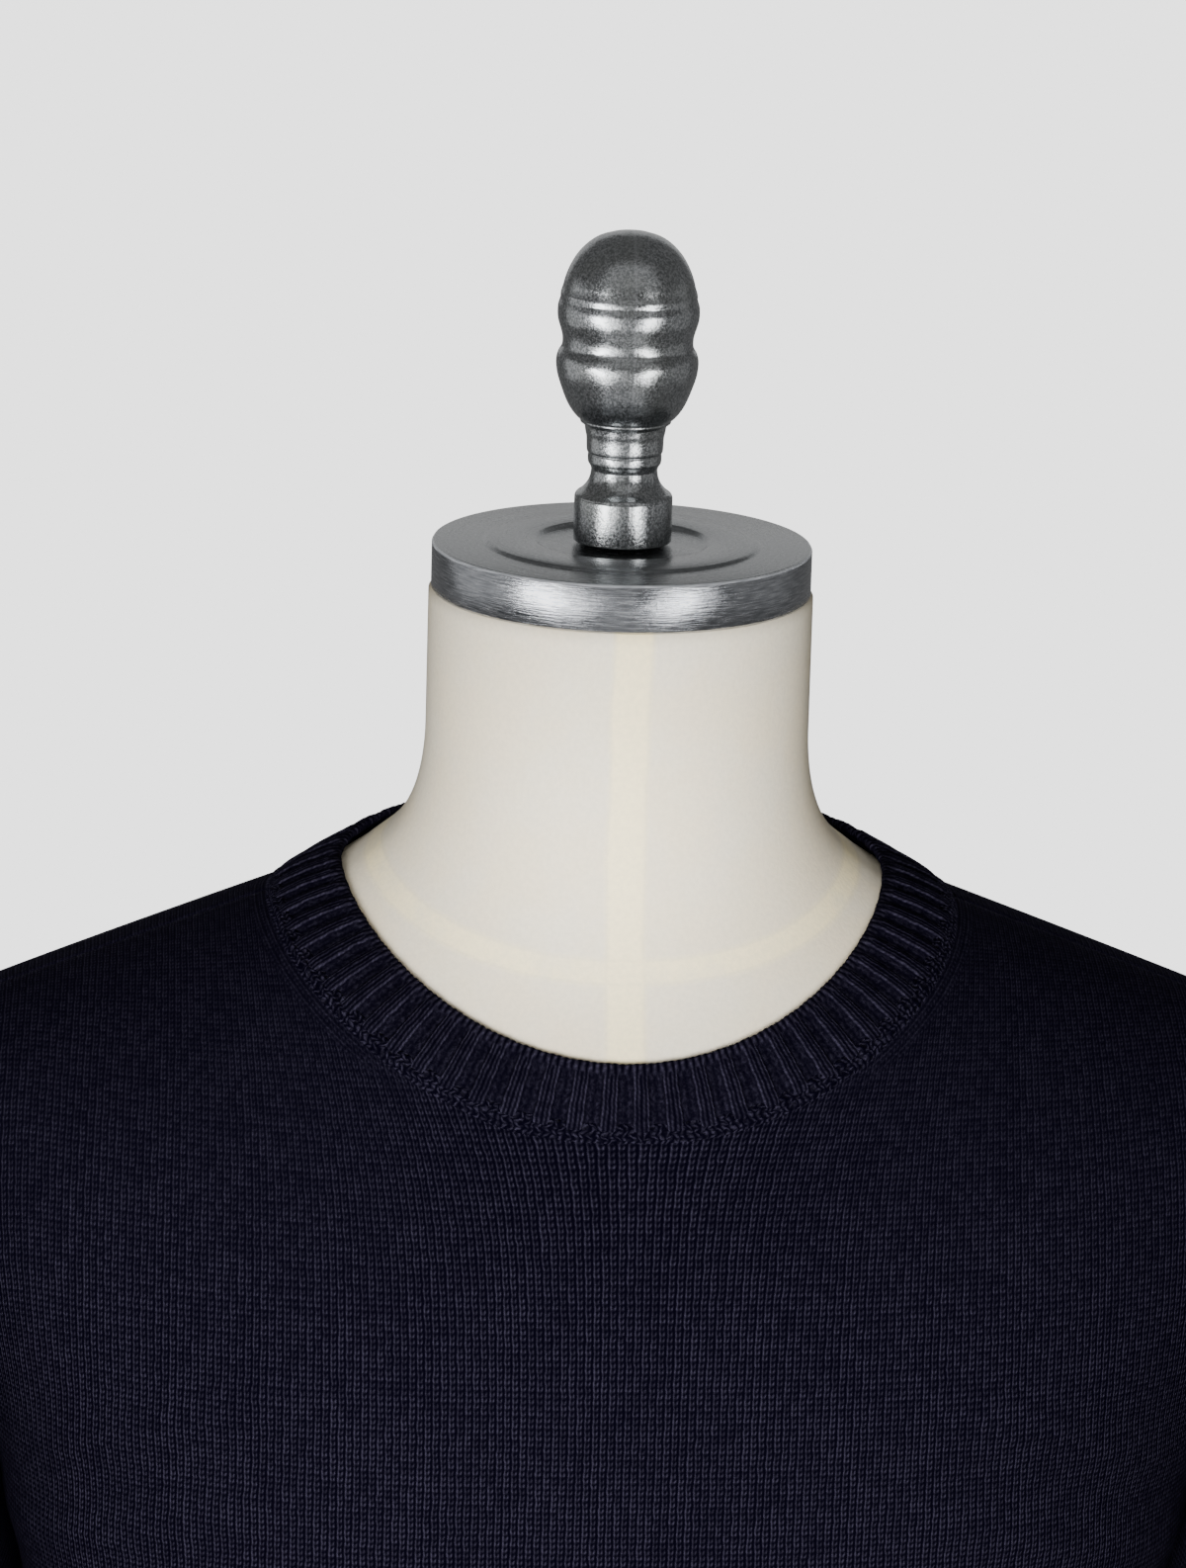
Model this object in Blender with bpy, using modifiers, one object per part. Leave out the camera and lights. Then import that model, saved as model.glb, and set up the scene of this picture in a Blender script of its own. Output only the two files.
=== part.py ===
"""A crew neck sweater on a limbless dress form with a metal neck cap, a finial and a short stand.

Metres, +Z up. The front faces -Y, and the origin is the middle of the base's underside.
The sweater is knitted as flat panels and linked together. Each panel is a wall whose inner face is
worked out from sizes, and Solidify gives it the thickness of the cloth.
"""

import bmesh
import bpy
import numpy as np
from mathutils import Vector

# Heights above the floor
CAP_TOP = 1.030
SHOULDER = CAP_TOP - 0.1222  # of the ridge at SHOULDER_X
CHEST = CAP_TOP - 0.270  # the fullest level, where the upper body starts to close over
ARMPIT = CAP_TOP - 0.318
HEM_TOP = 0.330
HEM_LOW = 0.262
FORM_LOW = 0.230
CUFF_TOP = 0.298
CUFF_LOW = 0.230
BASE_TOP = 0.022

# Shoulders
SHOULDER_X = 0.113  # where the ridge has the height SHOULDER
SHOULDER_SLOPE = 0.376
SHOULDER_TIP = 0.226
CREST = 0.060  # the ridge is rounded over inside this, where the neck is open
ROUND_FROM = 0.200  # the ridge rounds down outside this
ROUND_BY = 4.0
RIDGE_Y = 0.006
SECTION_POWER = 2.5  # of the superellipse that a level section follows
ARM_POWER = 1.42  # how the section widens above the armpit
ARM_WIDEN = 0.895
ACROSS = 0.199  # half the width between the armholes at the chest
ARM_SWEEP = 1.8  # how late the armhole edge moves out to the shoulder tip
CLOSE_POWER = {-1: 1.95, 1: 2.5}  # how front (-1) and back (1) close over to the ridge

# Cloth
KNIT = 0.0022
RIB = 0.0034
SEAM = 0.0003  # between linked pieces
NECK_SEAM = 0.0009
ARM_SEAM = 0.0007
UNDERARM_EASE = 0.0018  # how far the sleeve stands off the side of the body at the underarm
EASE_TO = 0.810  # and the height by which it has closed up

# The neck opening of the panels, and the fold at the top of the collar
NECK_SIDE, NECK_FRONT, NECK_BACK = 0.1115, 0.0975, 0.0728
NECK_POWER = 2.35  # the front of the opening is a little squarer than an ellipse
FOLD_SIDE, FOLD_FRONT, FOLD_BACK = 0.0884, 0.0873, 0.0655
FOLD_SIDE_UP = CAP_TOP - 0.1107
FOLD_FRONT_DROP = 0.0400
FOLD_BACK_RISE = 0.0130
FOLD_DIP, FOLD_LIFT = 1.45, 1.2  # how the drop and the rise set in from the sides
COLLAR_BULGE = 0.0010

# How far the form stays inside the sweater at the ridge, the armhole and the shoulder tip
UNDER_RIDGE = 0.0014
INSIDE_ARMHOLE = 0.0035
INSIDE_TIP = 0.0045
PLATE_SHARE = 0.5  # of the arm end that its inner ring keeps
PLATE_DOME = 0.0020

SECTION = [("height", float), ("side", float), ("front", float), ("back", float)]

# Level sections of the inner face of the sweater, below the chest
SWEATER_SECTIONS = np.array(
    [
        (HEM_LOW, 0.1765, 0.1080, 0.0935),
        (HEM_TOP, 0.1805, 0.1125, 0.0975),
        (0.410, 0.1790, 0.1140, 0.0960),
        (0.490, 0.1770, 0.1140, 0.0940),
        (0.570, 0.1795, 0.1145, 0.0940),
        (0.630, 0.1840, 0.1155, 0.0970),
        (0.674, 0.1895, 0.1168, 0.1000),
        (ARMPIT, 0.1978, 0.1180, 0.1025),
        (CHEST, 0.1978, 0.1188, 0.1038),
    ],
    dtype=SECTION,
)

# Level sections of the dress form
FORM_SECTIONS = np.array(
    [
        (FORM_LOW, 0.1680, 0.0970, 0.0870),
        (0.300, 0.1720, 0.1000, 0.0900),
        (0.400, 0.1660, 0.0990, 0.0870),
        (0.490, 0.1600, 0.0970, 0.0820),
        (0.570, 0.1680, 0.1010, 0.0850),
        (0.630, 0.1770, 0.1070, 0.0910),
        (0.674, 0.1855, 0.1130, 0.0970),
        (ARMPIT, 0.1945, 0.1160, 0.1005),
        (CHEST, 0.1945, 0.1176, 0.1026),
    ],
    dtype=SECTION,
)

SWEATER = {"ridge": SHOULDER, "across": ACROSS, "tip": SHOULDER_TIP, "levels": SWEATER_SECTIONS}
FORM = {
    "ridge": SHOULDER - UNDER_RIDGE,
    "across": ACROSS - INSIDE_ARMHOLE,
    "tip": SHOULDER_TIP - INSIDE_TIP,
    "levels": FORM_SECTIONS,
}

# The left sleeve, from the armhole down. Each ring starts at an inner point and runs out at an angle.
SLEEVE_RINGS = np.array(
    [
        (0.2030, 0.7120, 79.0, 0.1560, 0.0630, 0.0570, 1.00),
        (0.2041, 0.7105, 76.5, 0.1560, 0.0640, 0.0590, 0.80),
        (0.2035, 0.7085, 73.0, 0.1460, 0.0670, 0.0630, 0.50),
        (0.2026, 0.7065, 67.0, 0.1270, 0.0710, 0.0690, 0.25),
        (0.2018, 0.7045, 57.0, 0.0990, 0.0760, 0.0750, 0.10),
        (0.2011, 0.7025, 43.0, 0.0745, 0.0800, 0.0800, 0.00),
        (0.2006, 0.7005, 26.0, 0.0610, 0.0825, 0.0825, 0.00),
        (0.1994, 0.6950, 10.0, 0.0560, 0.0845, 0.0840, 0.00),
        (0.1955, 0.6750, 2.0, 0.0570, 0.0845, 0.0820, 0.00),
        (0.1925, 0.6350, 0.0, 0.0575, 0.0825, 0.0780, 0.00),
        (0.1915, 0.5800, 0.0, 0.0565, 0.0795, 0.0715, 0.00),
        (0.1910, 0.5100, 0.0, 0.0545, 0.0755, 0.0630, 0.00),
        (0.1915, 0.4300, 0.0, 0.0520, 0.0710, 0.0535, 0.00),
        (0.1922, 0.3600, 0.0, 0.0490, 0.0665, 0.0465, 0.00),
        (0.1928, CUFF_TOP, 0.0, 0.0455, 0.0595, 0.0395, 0.00),
    ],
    dtype=[
        ("x", float),
        ("height", float),
        ("angle", float),
        ("reach", float),
        ("front", float),
        ("back", float),
        ("armhole", float),
    ],
)
CUFF_RINGS = SLEEVE_RINGS[-2:].copy()
CUFF_RINGS["height"] = CUFF_TOP - SEAM, CUFF_LOW
CUFF_RINGS["front"] = 0.0575, 0.0530
CUFF_RINGS["back"] = 0.0375, 0.0335
CUFF_RINGS["reach"] = 0.0450, 0.0430
CUFF_RINGS["x"] = 0.1930, 0.1932
SLEEVE_POWER = 2.3
GIRTH_RING = 8  # the ring by which the points are spread round the sleeve

# Turned parts: each row is a radius and a height above the cap's rim plane or the floor
TURNED = [("radius", float), ("height", float)]
CAP_RADIUS = 0.0620
CAP_THICK = 0.0160
CAP_PROFILE = np.array(
    [
        (0.0000, -0.0005),
        (0.0262, -0.0005),
        (0.0285, 0.0010),
        (0.0440, 0.0010),
        (0.0456, 0.0000),
        (0.0612, 0.0000),
        (CAP_RADIUS, -0.0008),
        (CAP_RADIUS, 0.0008 - CAP_THICK),
        (0.0612, -CAP_THICK),
        (0.0000, -CAP_THICK),
    ],
    dtype=TURNED,
)
FINIAL_PROFILE = np.array(
    [
        (0.0000, 0.1026),
        (0.0060, 0.1021),
        (0.0105, 0.1006),
        (0.0140, 0.0982),
        (0.0168, 0.0952),
        (0.0187, 0.0922),
        (0.0200, 0.0894),
        (0.0209, 0.0868),
        (0.0214, 0.0848),
        (0.0219, 0.0832),
        (0.0221, 0.0826),
        (0.0222, 0.0818),
        (0.0222, 0.0808),
        (0.0225, 0.0798),
        (0.0229, 0.0784),
        (0.0230, 0.0770),
        (0.0230, 0.0755),
        (0.0228, 0.0738),
        (0.0223, 0.0720),
        (0.0217, 0.0701),
        (0.0213, 0.0684),
        (0.0212, 0.0672),
        (0.0212, 0.0662),
        (0.0213, 0.0653),
        (0.0217, 0.0643),
        (0.0223, 0.0634),
        (0.0227, 0.0624),
        (0.0230, 0.0612),
        (0.0231, 0.0598),
        (0.0230, 0.0582),
        (0.0227, 0.0562),
        (0.0221, 0.0540),
        (0.0212, 0.0514),
        (0.0202, 0.0487),
        (0.0189, 0.0459),
        (0.0174, 0.0436),
        (0.0158, 0.0418),
        (0.0149, 0.0412),
        (0.0147, 0.0402),
        (0.0136, 0.0395),
        (0.0133, 0.0388),
        (0.0130, 0.0370),
        (0.0126, 0.0350),
        (0.0124, 0.0308),
        (0.0118, 0.0301),
        (0.0120, 0.0293),
        (0.0119, 0.0270),
        (0.0112, 0.0258),
        (0.0108, 0.0246),
        (0.0108, 0.0240),
        (0.0112, 0.0218),
        (0.0121, 0.0198),
        (0.0138, 0.0178),
        (0.0154, 0.0166),
        (0.0159, 0.0156),
        (0.0160, 0.0140),
        (0.0160, 0.0026),
        (0.0157, 0.0010),
        (0.0135, -0.0002),
        (0.0000, -0.0002),
    ],
    dtype=TURNED,
)
POLE_RADIUS = 0.0160
FLANGE_PROFILE = np.array(
    [
        (POLE_RADIUS + SEAM, FORM_LOW - SEAM),
        (0.0480, FORM_LOW - SEAM),
        (0.0480, FORM_LOW - 0.0050),
        (0.0260, FORM_LOW - 0.0110),
        (0.0230, FORM_LOW - 0.0260),
        (POLE_RADIUS + SEAM, FORM_LOW - 0.0260),
    ],
    dtype=TURNED,
)
BASE_PROFILE = np.array(
    [
        (0.0000, BASE_TOP),
        (0.0280, BASE_TOP),
        (0.0340, BASE_TOP - 0.0040),
        (0.1400, 0.0110),
        (0.1620, 0.0075),
        (0.1650, 0.0045),
        (0.1650, 0.0000),
        (0.0000, 0.0000),
    ],
    dtype=TURNED,
)

# How the form's neck flares out of its column and under the collar, at the front, side and back
NECK_COLUMN = {"front": 0.0620, "side": 0.0628, "back": 0.0595}
NECK_TOP = CAP_TOP - CAP_THICK - SEAM
STRAIGHT_BELOW = {"front": 0.078, "side": 0.060, "back": 0.062}  # the column is straight down to here
FLARE_LOW = {"front": 0.122, "side": 0.0960, "back": 0.0820}  # upper handle of the flare
FLARE_OUT = {"front": 0.014, "side": 0.0120, "back": 0.0060}  # length of its lower handle
FLARE_SLOPE = {"front": 56.0, "side": 38.0, "back": 66.0}  # degrees, at the collar's fold
FLARE_AT = (0.20, 0.40, 0.60, 0.80, 1.00)
UNDER_COLLAR = 0.0012  # between the form and the inside of the collar

# Mesh density
HALF_COLUMNS = 12
NECK_COLUMNS = 7  # of the half columns, those that end at the neck opening
CLOSE_ROWS = 9
UNDERARM_ROWS = (ARMPIT, 0.716, 0.722, 0.732, 0.746, CHEST)
LOW_ROWS = (0.380, 0.430, 0.480, 0.530, 0.580, 0.625, 0.660, 0.690)
FORM_ROWS = (0.300, 0.400, 0.490, 0.570, 0.630, 0.674)
TURN_STEPS = 32
DENSE = 200  # points on a line before they are spread evenly
COLLAR_ROWS = 4
SETTLE = 12  # rounds of substitution
WELD = 0.00002

# Each finish: colour, roughness and how metallic
NAVY_KNIT = ((0.010, 0.011, 0.024), 0.90, 0)
CREAM_COTTON = ((0.68, 0.65, 0.59), 0.85, 0)
BRUSHED_METAL = ((0.42, 0.44, 0.46), 0.40, 1)
CAST_METAL = ((0.42, 0.44, 0.46), 0.35, 1)


def smooth_read(table, column, at):
    """Reads a column of a table at a height: a cubic between rows, with slopes from the rows around."""
    height, value = table["height"], table[column]
    slope = np.gradient(value, height)
    at = np.clip(at, height[0], height[-1])
    row = np.clip(np.searchsorted(height, at) - 1, 0, len(height) - 2)
    step = height[row + 1] - height[row]
    t = (at - height[row]) / step
    return (
        (2 * t**3 - 3 * t**2 + 1) * value[row]
        + (t**3 - 2 * t**2 + t) * step * slope[row]
        + (3 * t**2 - 2 * t**3) * value[row + 1]
        + (t**3 - t**2) * step * slope[row + 1]
    )


def unit(vectors):
    """The vectors scaled to length 1."""
    return vectors / np.linalg.norm(vectors, axis=-1, keepdims=True)


def lengths(line):
    """Running length along the points of a line."""
    return np.append(0, np.cumsum(np.linalg.norm(np.diff(line, axis=0), axis=1)))


def evened(line, count):
    """Points spread evenly by length along a dense line."""
    length = lengths(line)
    at = np.linspace(0, length[-1], count)
    return np.stack([np.interp(at, length, line[:, axis]) for axis in range(3)], axis=1)


def ridge(size, x):
    """Height of the shoulder ridge: a straight slope that rounds over across the open neck, and rounds
    down near the tip."""
    x = np.abs(x)
    x = np.where(x < CREST, (x**2 / CREST + CREST) / 2, x)
    past = np.maximum(x - ROUND_FROM, 0)
    return size["ridge"] - SHOULDER_SLOPE * (x - SHOULDER_X) - ROUND_BY * past**2


def half_width(size, height):
    """Half width of the level section, which goes on past the armhole edge above the armpit."""
    above = np.maximum(height - ARMPIT, 0)
    return smooth_read(size["levels"], "side", height) + ARM_WIDEN * above**ARM_POWER


def reach(size, facing, x, height):
    """Distance from the ridge plane to the front (-1) or back (1) of the level section at x."""
    name = "front" if facing < 0 else "back"
    full = smooth_read(size["levels"], name, height) - facing * RIDGE_Y
    share = np.clip(np.abs(x) / half_width(size, height), 0, 1)
    return full * (1 - share**SECTION_POWER) ** (1 / SECTION_POWER)


def closing_point(size, facing, x, turn):
    """A point above the chest: turn goes from 0 at the chest to a right angle on the ridge."""
    power = 2 / CLOSE_POWER[facing]
    height = CHEST + (ridge(size, x) - CHEST) * np.sin(turn) ** power
    y = RIDGE_Y + facing * (SEAM / 2 + reach(size, facing, x, height) * np.cos(turn) ** power)
    return np.stack([x, y, height], axis=-1)


def closing_turn(size, facing, x, y):
    """The turn at which the upper body has this x and y, by repeated substitution."""
    power = CLOSE_POWER[facing]
    height = np.full(np.shape(x), SHOULDER)
    for _ in range(SETTLE):
        share = np.clip(np.abs(y - RIDGE_Y) / reach(size, facing, x, height), 0, 1)
        turn = np.arccos(share ** (power / 2))
        height = CHEST + (ridge(size, x) - CHEST) * np.sin(turn) ** (2 / power)
    return turn


def oval(angle, side, front, back, power=2.0):
    """Plan of the neck opening: angle 0 is +X and a right angle is the front."""
    across = np.sign(np.cos(angle)) * np.abs(np.cos(angle)) ** (2 / power)
    along = np.abs(np.sin(angle)) ** (2 / power)
    deep = np.where(np.sin(angle) > 0, -(front + RIDGE_Y), back - RIDGE_Y)
    return side * across, RIDGE_Y + deep * along


def neck_line(size, angle, grow=0.0):
    """Points of the neck opening on the body's surface, grown outwards from the collar."""
    x, y = oval(angle, NECK_SIDE + grow, NECK_FRONT + grow, NECK_BACK + grow, NECK_POWER)
    points = np.empty((len(angle), 3))
    for facing, here in ((-1, np.sin(angle) >= 0), (1, np.sin(angle) < 0)):
        turn = closing_turn(size, facing, x[here], y[here])
        points[here] = closing_point(size, facing, x[here], turn)
    points[:, 1] = y
    return points


def edge_reach(size, heights):
    """Half width of the panel at its side seam, or at its armhole edge above the armpit."""
    share = np.clip((heights - ARMPIT) / (CHEST - ARMPIT), 0, 1)
    side = smooth_read(size["levels"], "side", heights)
    return side + (size["across"] - side) * share**2 * (heights > ARMPIT)


def level_row(size, facing, height, columns):
    """One level row of half a panel, from the middle to its edge, spread evenly."""
    wide = half_width(size, height)
    last = np.arcsin(np.clip((edge_reach(size, height) / wide) ** (SECTION_POWER / 2), 0, 1))
    x = wide * np.sin(np.linspace(0, last, DENSE)) ** (2 / SECTION_POWER)
    y = RIDGE_Y + facing * (SEAM / 2 + reach(size, facing, x, height))
    return evened(np.stack([x, y, np.full(x.shape, height)], axis=1), columns)


def half_panel(size, facing, heights, grow):
    """Half a panel at +X: level rows up to the chest, then rows that close over to the shoulder and
    neck. Columns inside the neck column end at the opening, the others at the shoulder ridge."""
    columns = HALF_COLUMNS + 1
    low = np.stack([level_row(size, facing, height, columns) for height in heights])
    chest = low[-1][:, 0]
    quarter = np.linspace(np.pi / 2, 0, NECK_COLUMNS + 1)
    top_x, top_y = oval(-facing * quarter, NECK_SIDE + grow, NECK_FRONT + grow, NECK_BACK + grow, NECK_POWER)
    top_turn = closing_turn(size, facing, top_x, top_y)
    shoulder = np.linspace(top_x[-1], size["tip"], columns - NECK_COLUMNS)[1:]
    top_x = np.append(top_x, shoulder)
    top_turn = np.append(top_turn, np.full(shoulder.shape, np.pi / 2))
    share = np.linspace(0, 1, CLOSE_ROWS + 1)[1:, None]
    x = chest + (top_x - chest) * share**ARM_SWEEP
    return np.concatenate([low, closing_point(size, facing, x, share * top_turn)])


def whole_panel(size, facing, heights, grow):
    """A panel from edge to edge, by reflection in the plane x = 0."""
    half = half_panel(size, facing, heights, grow)
    other = half[:, :0:-1] * (-1, 1, 1)
    return np.concatenate([other, half], axis=1)


def link(name, mesh, finish):
    """Adds an object for the mesh to the sweater's collection, with its own material."""
    colour, roughness, metallic = finish
    material = bpy.data.materials.new(name)
    material.use_nodes = True
    surface = material.node_tree.nodes["Principled BSDF"]
    surface.inputs["Base Color"].default_value = (*colour, 1)
    surface.inputs["Roughness"].default_value = roughness
    surface.inputs["Metallic"].default_value = metallic
    mesh.materials.append(material)
    made = bpy.data.objects.new(name, mesh)
    collection.objects.link(made)
    return made


def grid_mesh(name, grid, around=False, flip=False):
    """A mesh of four-sided faces through a grid of points, closed on itself when around is set."""
    rows, columns = grid.shape[:2]
    index = np.arange(rows * columns).reshape(rows, columns)
    if around:
        index = np.concatenate([index, index[:, :1]], axis=1)
    faces = np.stack([index[:-1, :-1], index[:-1, 1:], index[1:, 1:], index[1:, :-1]], axis=-1)
    faces = faces.reshape(-1, 4)
    if flip:
        faces = faces[:, ::-1]
    mesh = bpy.data.meshes.new(name)
    mesh.from_pydata(grid.reshape(-1, 3).tolist(), [], faces.tolist())
    mesh.shade_smooth()
    return mesh


def split_outwards(corners):
    """The two triangles of a four-sided patch of the body, split along its outer diagonal."""
    a, b, c, d = corners
    inside = Vector((0, RIDGE_Y, CHEST))
    if ((a.co + c.co) / 2 - inside).length > ((b.co + d.co) / 2 - inside).length:
        return (a, b, c), (a, c, d)
    return (b, c, d), (b, d, a)


def add_patches(build, grid, flip):
    """Adds a grid of points to a mesh under construction as triangles. Returns its rows of vertices."""
    verts = [[build.verts.new(point) for point in row] for row in grid]
    for lower, upper in zip(verts, verts[1:]):
        for j in range(len(lower) - 1):
            corners = [lower[j], lower[j + 1], upper[j + 1], upper[j]]
            for triangle in split_outwards(corners):
                build.faces.new(triangle[::-1] if flip else triangle)
    return verts


def finished_mesh(name, build):
    """Turns a mesh under construction into mesh data with smooth shading."""
    mesh = bpy.data.meshes.new(name)
    build.to_mesh(mesh)
    build.free()
    mesh.shade_smooth()
    return mesh


def wall(made, thickness, outwards=True):
    """Gives an open surface the thickness of its cloth, on its outer or inner side."""
    solidify = made.modifiers.new("cloth", "SOLIDIFY")
    solidify.thickness = thickness
    solidify.offset = 1.0 if outwards else -1.0
    solidify.use_even_offset = False
    return made


def turned(name, profile, zero, finish):
    """A turned solid: a profile of radius and height with a Screw modifier."""
    points = np.stack([profile["radius"], np.zeros(len(profile)), profile["height"] + zero], axis=1)
    mesh = bpy.data.meshes.new(name)
    edges = [(i, i + 1) for i in range(len(points) - 1)]
    if profile["radius"][0] > 0:
        edges.append((len(points) - 1, 0))
    mesh.from_pydata(points.tolist(), edges, [])
    made = link(name, mesh, finish)
    screw = made.modifiers.new("turn", "SCREW")
    screw.steps = screw.render_steps = TURN_STEPS
    screw.use_merge_vertices = True
    screw.merge_threshold = WELD / 2
    screw.use_smooth_shade = True
    return made


def body_panels():
    """Front and back, whose inner faces lie on the dress form at the shoulders."""
    heights = (HEM_TOP + SEAM, *LOW_ROWS, *UNDERARM_ROWS)
    for name, facing in (("front", -1), ("back", 1)):
        build = bmesh.new()
        add_patches(build, whole_panel(SWEATER, facing, heights, NECK_SEAM), facing > 0)
        wall(link(name, finished_mesh(name, build), NAVY_KNIT), KNIT)


def armhole(grow):
    """The armhole edge at +X: from the underarm up the front edge, over the tip and down the back."""
    sides = []
    for facing in (-1, 1):
        grid = half_panel(SWEATER, facing, UNDERARM_ROWS, NECK_SEAM)
        edge = grid[:, -1]
        along = unit(edge - grid[:, -2])
        outwards = unit(-facing * np.cross(along, np.gradient(edge, axis=0)))
        away = unit(along + outwards / 2 + (1, 0, 0))
        low = np.clip((EASE_TO - edge[:, 2:]) / (EASE_TO - ARMPIT), 0, 1)
        sides.append(edge + outwards * KNIT + away * grow + low * (UNDERARM_EASE, 0, 0))
    return np.concatenate([sides[0], sides[1][-2:0:-1]])


def sleeve_ring(row, angles):
    """One ring of the left sleeve: a flattened oval that starts at an inner point and leans out."""
    tilt = np.radians(row["angle"])
    across = np.sign(np.cos(angles)) * np.abs(np.cos(angles)) ** (2 / SLEEVE_POWER)
    along = row["reach"] / 2 * (1 - across)
    deep = np.abs(np.sin(angles)) ** (2 / SLEEVE_POWER)
    y = np.where(np.sin(angles) > 0, -row["front"], row["back"]) * deep
    return np.stack([row["x"] + along * np.cos(tilt), y, row["height"] + along * np.sin(tilt)], axis=1)


def ring_angles(steps):
    """Angles that spread a flattened oval's points evenly by length."""
    dense = np.linspace(0, 2 * np.pi, 4 * DENSE + 1)
    length = lengths(sleeve_ring(SLEEVE_RINGS[GIRTH_RING], dense))
    return np.interp(np.linspace(0, length[-1], steps + 1)[:-1], length, dense)


def sleeves():
    """Both sleeves hang empty: each starts on its armhole edge and closes to a flattened tube. The
    rows start as the armhole's own shape and lose it within a few rings."""
    edge = armhole(ARM_SEAM)
    angles = ring_angles(len(edge))
    own = edge - sleeve_ring(SLEEVE_RINGS[0], angles)
    rings = np.stack([sleeve_ring(row, angles) + own * row["armhole"] for row in SLEEVE_RINGS])
    cuff = np.stack([sleeve_ring(row, angles) for row in CUFF_RINGS])
    for side, turn in (("left", 1), ("right", -1)):
        mirrored = (turn, 1, 1)
        sleeve = grid_mesh("sleeve_" + side, rings * mirrored, around=True, flip=turn < 0)
        wall(link("sleeve_" + side, sleeve, NAVY_KNIT), KNIT, outwards=False)
        band = grid_mesh("cuff_" + side, cuff * mirrored, around=True, flip=turn < 0)
        wall(link("cuff_" + side, band, NAVY_KNIT), KNIT, outwards=False)


def collar_band(angles):
    """The collar's inner face at each angle: its linked edge, its fold and the way it faces."""
    low = neck_line(SWEATER, angles)
    x, y = oval(angles, FOLD_SIDE, FOLD_FRONT, FOLD_BACK)
    forward = np.sin(angles)
    rise = np.where(
        forward > 0,
        -FOLD_FRONT_DROP * np.abs(forward) ** FOLD_DIP,
        FOLD_BACK_RISE * np.abs(forward) ** FOLD_LIFT,
    )
    fold = np.stack([x, y, FOLD_SIDE_UP + rise], axis=1)
    out = unit(np.cross(fold - low, np.roll(low, -1, axis=0) - np.roll(low, 1, axis=0)))
    return low, fold, out * np.sign(out[:, 2:])


def collar():
    """The folded rib collar: a band that leans in from the neck opening to its fold."""
    low, fold, out = collar_band(np.linspace(0, 2 * np.pi, 4 * NECK_COLUMNS + 1)[:-1])
    share = np.linspace(0, 1, COLLAR_ROWS)[:, None, None]
    grid = low + (fold - low) * share + out * COLLAR_BULGE * 4 * share * (1 - share)
    wall(link("neck_rib", grid_mesh("neck_rib", grid, around=True, flip=True), NAVY_KNIT), RIB)


def hem():
    """The rib at the bottom of the body, one band all round."""
    rows = []
    for height in (HEM_LOW, (HEM_LOW + HEM_TOP) / 2, HEM_TOP):
        front = level_row(SWEATER, -1, height, HALF_COLUMNS + 1)
        back = level_row(SWEATER, 1, height, HALF_COLUMNS + 1)
        front[:, 1] += SEAM / 2
        back[:, 1] -= SEAM / 2
        half = np.concatenate([front, back[-2::-1]])
        rows.append(np.concatenate([half, half[-2:0:-1] * (-1, 1, 1)]))
    grid = np.stack(rows)
    wall(link("hem_rib", grid_mesh("hem_rib", grid, around=True), NAVY_KNIT), KNIT)


def blend_round(table, angles):
    """Front, side and back values, blended round the neck by the squares of sine and cosine."""
    forward = np.sin(angles)
    end = np.where(forward > 0, table["front"], table["back"])
    return table["side"] + (end - table["side"]) * forward**2


def neck_rings(angles):
    """Rings of the form from under the collar, up the flare and the neck column to the cap."""
    low, fold, out = collar_band(angles)
    middle = (low + fold) / 2 - out * UNDER_COLLAR
    start = fold - out * UNDER_COLLAR
    column = blend_round(NECK_COLUMN, angles)
    inwards = -unit(start[:, :2])
    slope = np.radians(blend_round(FLARE_SLOPE, angles))[:, None]
    handle = blend_round(FLARE_OUT, angles)[:, None]
    first = start + handle * np.concatenate([inwards * np.cos(slope), np.sin(slope)], axis=1)
    top = np.stack([np.cos(angles) * column, -np.sin(angles) * column, CAP_TOP - angles * 0], axis=1)
    top[:, 2] -= blend_round(STRAIGHT_BELOW, angles)
    second = top.copy()
    second[:, 2] = CAP_TOP - blend_round(FLARE_LOW, angles)
    rings = [middle, start]
    for t in FLARE_AT:
        u = 1 - t
        rings.append(u**3 * start + 3 * t * u**2 * first + 3 * t**2 * u * second + t**3 * top)
    rim = top.copy()
    rim[:, 2] = NECK_TOP
    return [*rings, rim]


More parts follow.
